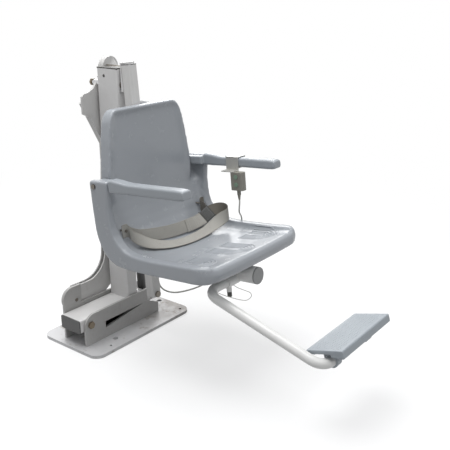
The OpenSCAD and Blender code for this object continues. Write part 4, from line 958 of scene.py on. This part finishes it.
def makeFootPad():
    size, sides = footPad, footPad["studSides"]
    pitch, inset, reach = (size[k] * mm for k in ("pitch", "inset", "castFrom"))
    pad = mouldedCopy("footPad", ["foot_pad"], size["grain"], size["rounds"])
    source = cadNodes["foot_pad"].data
    # the pad's top is its largest face that looks up
    best = max(source.polygons, key=lambda p: p.area * (p.normal.z > 0.5))
    normal = best.normal.normalized()
    skin = surfaceOf(pad)
    across = Vector((1, 0, 0)) - normal * normal.x
    across.normalize()
    along = normal.cross(across)
    onTop = source.vertices[best.vertices[0]].co
    corners = [v.co for v in source.vertices
               if abs((v.co - onTop).dot(normal)) < size["topDepth"] * mm]
    centre = sum(corners, Vector()) / len(corners)
    halves = [max(abs((c - centre).dot(way)) for c in corners) for way in (across, along)]
    count = [int(2 * (half - inset) / pitch) for half in halves]

    def cast(spot):
        return skin.ray_cast(spot + normal * reach, -normal, 2 * reach)

    parts = [pad]
    for i in range(count[0] + 1):
        for j in range(count[1] + 1):
            # every second row is shifted by half a pitch
            shift = 0.5 * (j % 2)
            spot = (centre + across * ((i + shift - count[0] / 2) * pitch)
                    + along * ((j - count[1] / 2) * pitch))
            hit, face, _, _ = cast(spot)
            if hit is None or face.dot(normal) < size["facing"]:
                continue
            edge = [cast(spot + way * inset * size["edgeShare"])
                    for way in (across, -across, along, -along)]
            if any(e[0] is None or e[1].dot(normal) < size["edgeFacing"] for e in edge):
                continue
            rings = [[hit + normal * height * mm + size["studRadius"] * mm * share
                      * (across * math.cos(a) + along * math.sin(a))
                      for a in (math.tau * k / sides for k in range(sides))]
                     for height, share in size["studRings"]]
            stud = loftPiece("gripStud", rings)
            stud.data.shade_smooth()
            parts.append(stud)
    studs = len(parts) - 1
    finishPiece(joined("footPad", parts), "padPlastic", "foot_pad",
                ["foot_pad"])
    print("foot pad:", studs, "studs")


# black disc in the hole near the mast's top: painted shade of the hole
holeShadeDisc = dict(radius=5.4, length=7.0, proud=0.6, across=15.0, drop=25.0, round=0.3, sides=32)


def makeHoleShadeDisc(faceX, top):
    size = holeShadeDisc
    deselectAll()
    bpy.ops.mesh.primitive_cylinder_add(
        vertices=size["sides"], radius=size["radius"] * mm, depth=size["length"] * mm,
        rotation=(0, math.pi / 2, 0),
        location=(faceX + (size["length"] / 2 - size["proud"]) * mm,
                  size["across"] * mm, top - size["drop"] * mm))
    shadeDisc = bpy.context.object
    shadeDisc.name = "mastHoleShadeDisc"
    bpy.ops.object.transform_apply(location=True, rotation=True, scale=True)
    bevelled(shadeDisc, size["round"] * mm)
    smoothed(shadeDisc)
    # the black finish paints the hole's shade
    finishPiece(shadeDisc, "pinBlack", "arm")


# thin dark cap that closes the mast's top
mastCap = dict(inset=0.4, sunk=1.0, rise=4.6, round=0.8, rimDepth=2.0)


def makeMastCap():
    mast = cadNodes["arm_mast"]
    corners = [mast.matrix_world @ v.co for v in mast.data.vertices]
    top = max(c.z for c in corners)
    rim = [c for c in corners if top - c.z < mastCap["rimDepth"] * mm]
    low = Vector((min(c.x for c in rim), min(c.y for c in rim), top - mastCap["sunk"] * mm))
    high = Vector((max(c.x for c in rim), max(c.y for c in rim), top + mastCap["rise"] * mm))
    edge = Vector((mastCap["inset"], mastCap["inset"], 0)) * mm
    deselectAll()
    bpy.ops.mesh.primitive_cube_add(size=1)
    cap = bpy.context.object
    cap.name = "mastCap"
    for vertex in cap.data.vertices:
        vertex.co = [low[k] + edge[k] + (vertex.co[k] + 0.5) * (high[k] - low[k] - 2 * edge[k])
                     for k in range(3)]
    bevelled(cap, mastCap["round"] * mm)
    smoothed(cap)
    finishPiece(cap, "pinBlack", "arm")
    makeHoleShadeDisc(low.x, top)
    print("mast cap:", [round(v, 3) for v in (*low, *high)])


makeEdgedPieces()
makeMastCap()
makeMouldedPieces()
makeSeatShell()
makeLapBelt()
makeBeltBuckle()
makeHandset()
makeFootPad()

# floor, soft lamps and a plain white surround
studio = dict(
    floorSize=240.0, floorTone=(0.90, 0.90, 0.90, 1), bounceTone=(0.34, 0.34, 0.34, 1),
    floorRoughness=0.8, nearFade=0.9, farFade=2.6, floorGlow=0.5,
    lamps=[
        dict(name="overheadLamp", place=(-0.2, 0.2, 3.4), target=(0, -0.3, 0.4), size=2.8,
             power=98.0),
        dict(name="frontLamp", place=(-1.0, -2.9, 3.3), target=(0, -0.1, 0.7), size=2.2,
             power=30.0),
        dict(name="rearLamp", place=(2.5, 1.9, 2.1), target=(0, -0.4, 0.5), size=2.0,
             power=40.0),
    ],
    surround=(0.80, 0.81, 0.83, 1), surroundStrength=0.60, white=(1, 1, 1, 1),
)


# 1 for what the camera sees, straight or by way of gloss or glass
def seenByCamera(tree):
    path = addNode(tree, "ShaderNodeLightPath")
    direct = addMath(tree, "MAXIMUM", path.outputs["Is Camera Ray"], path.outputs["Is Glossy Ray"])
    return addMath(tree, "MAXIMUM", direct, path.outputs["Is Transmission Ray"])


def makeFloor():
    deselectAll()
    bpy.ops.mesh.primitive_plane_add(size=studio["floorSize"], location=(0, 0, 0))
    floor = bpy.context.object
    floor.name = "studioFloor"
    material, tree, shader = newMaterial("studioFloor")
    shader.inputs["Roughness"].default_value = studio["floorRoughness"]
    reach = addNode(tree, "ShaderNodeVectorMath", [(0, objectPlace(tree))],
                    operation="LENGTH").outputs["Value"]
    fade = spanOf(tree, reach, studio["nearFade"], studio["farFade"],
                  interpolation_type="SMOOTHSTEP", **{"To Min": studio["floorGlow"]})
    seen = seenByCamera(tree)
    tree.links.new(addBlend(tree, seen, studio["bounceTone"], studio["floorTone"]),
                   shader.inputs["Base Color"])
    glow = addNode(tree, "ShaderNodeEmission", Color=studio["white"], Strength=1.0)
    mixed = addNode(tree, "ShaderNodeMixShader", [(0, addMath(tree, "MULTIPLY", fade, seen)),
                    (1, shader.outputs[0]), (2, glow.outputs[0])])
    tree.links.new(mixed.outputs[0], tree.nodes["Material Output"].inputs["Surface"])
    floor.data.materials.append(material)


def makeLamps():
    for lamp in studio["lamps"]:
        data = bpy.data.lights.new(lamp["name"], "AREA")
        data.shape, data.size, data.energy = "DISK", lamp["size"], lamp["power"]
        holder = bpy.data.objects.new(lamp["name"], data)
        holder.location = lamp["place"]
        away = Vector(lamp["target"]) - Vector(lamp["place"])
        holder.rotation_euler = away.to_track_quat("-Z", "Y").to_euler()
        scene.collection.objects.link(holder)


def makeSurround():
    world = bpy.data.worlds.new("surround")
    scene.world = world
    world.use_nodes = True
    tree = world.node_tree
    tree.nodes.clear()
    soft = addNode(tree, "ShaderNodeBackground", Color=studio["surround"],
                   Strength=studio["surroundStrength"])
    plain = addNode(tree, "ShaderNodeBackground", Color=studio["white"], Strength=1.0)
    mixed = addNode(tree, "ShaderNodeMixShader",
                    [(0, seenByCamera(tree)), (1, soft.outputs[0]), (2, plain.outputs[0])])
    addNode(tree, "ShaderNodeOutputWorld", [("Surface", mixed.outputs[0])])


makeFloor()
makeLamps()
makeSurround()
print("studio ready")
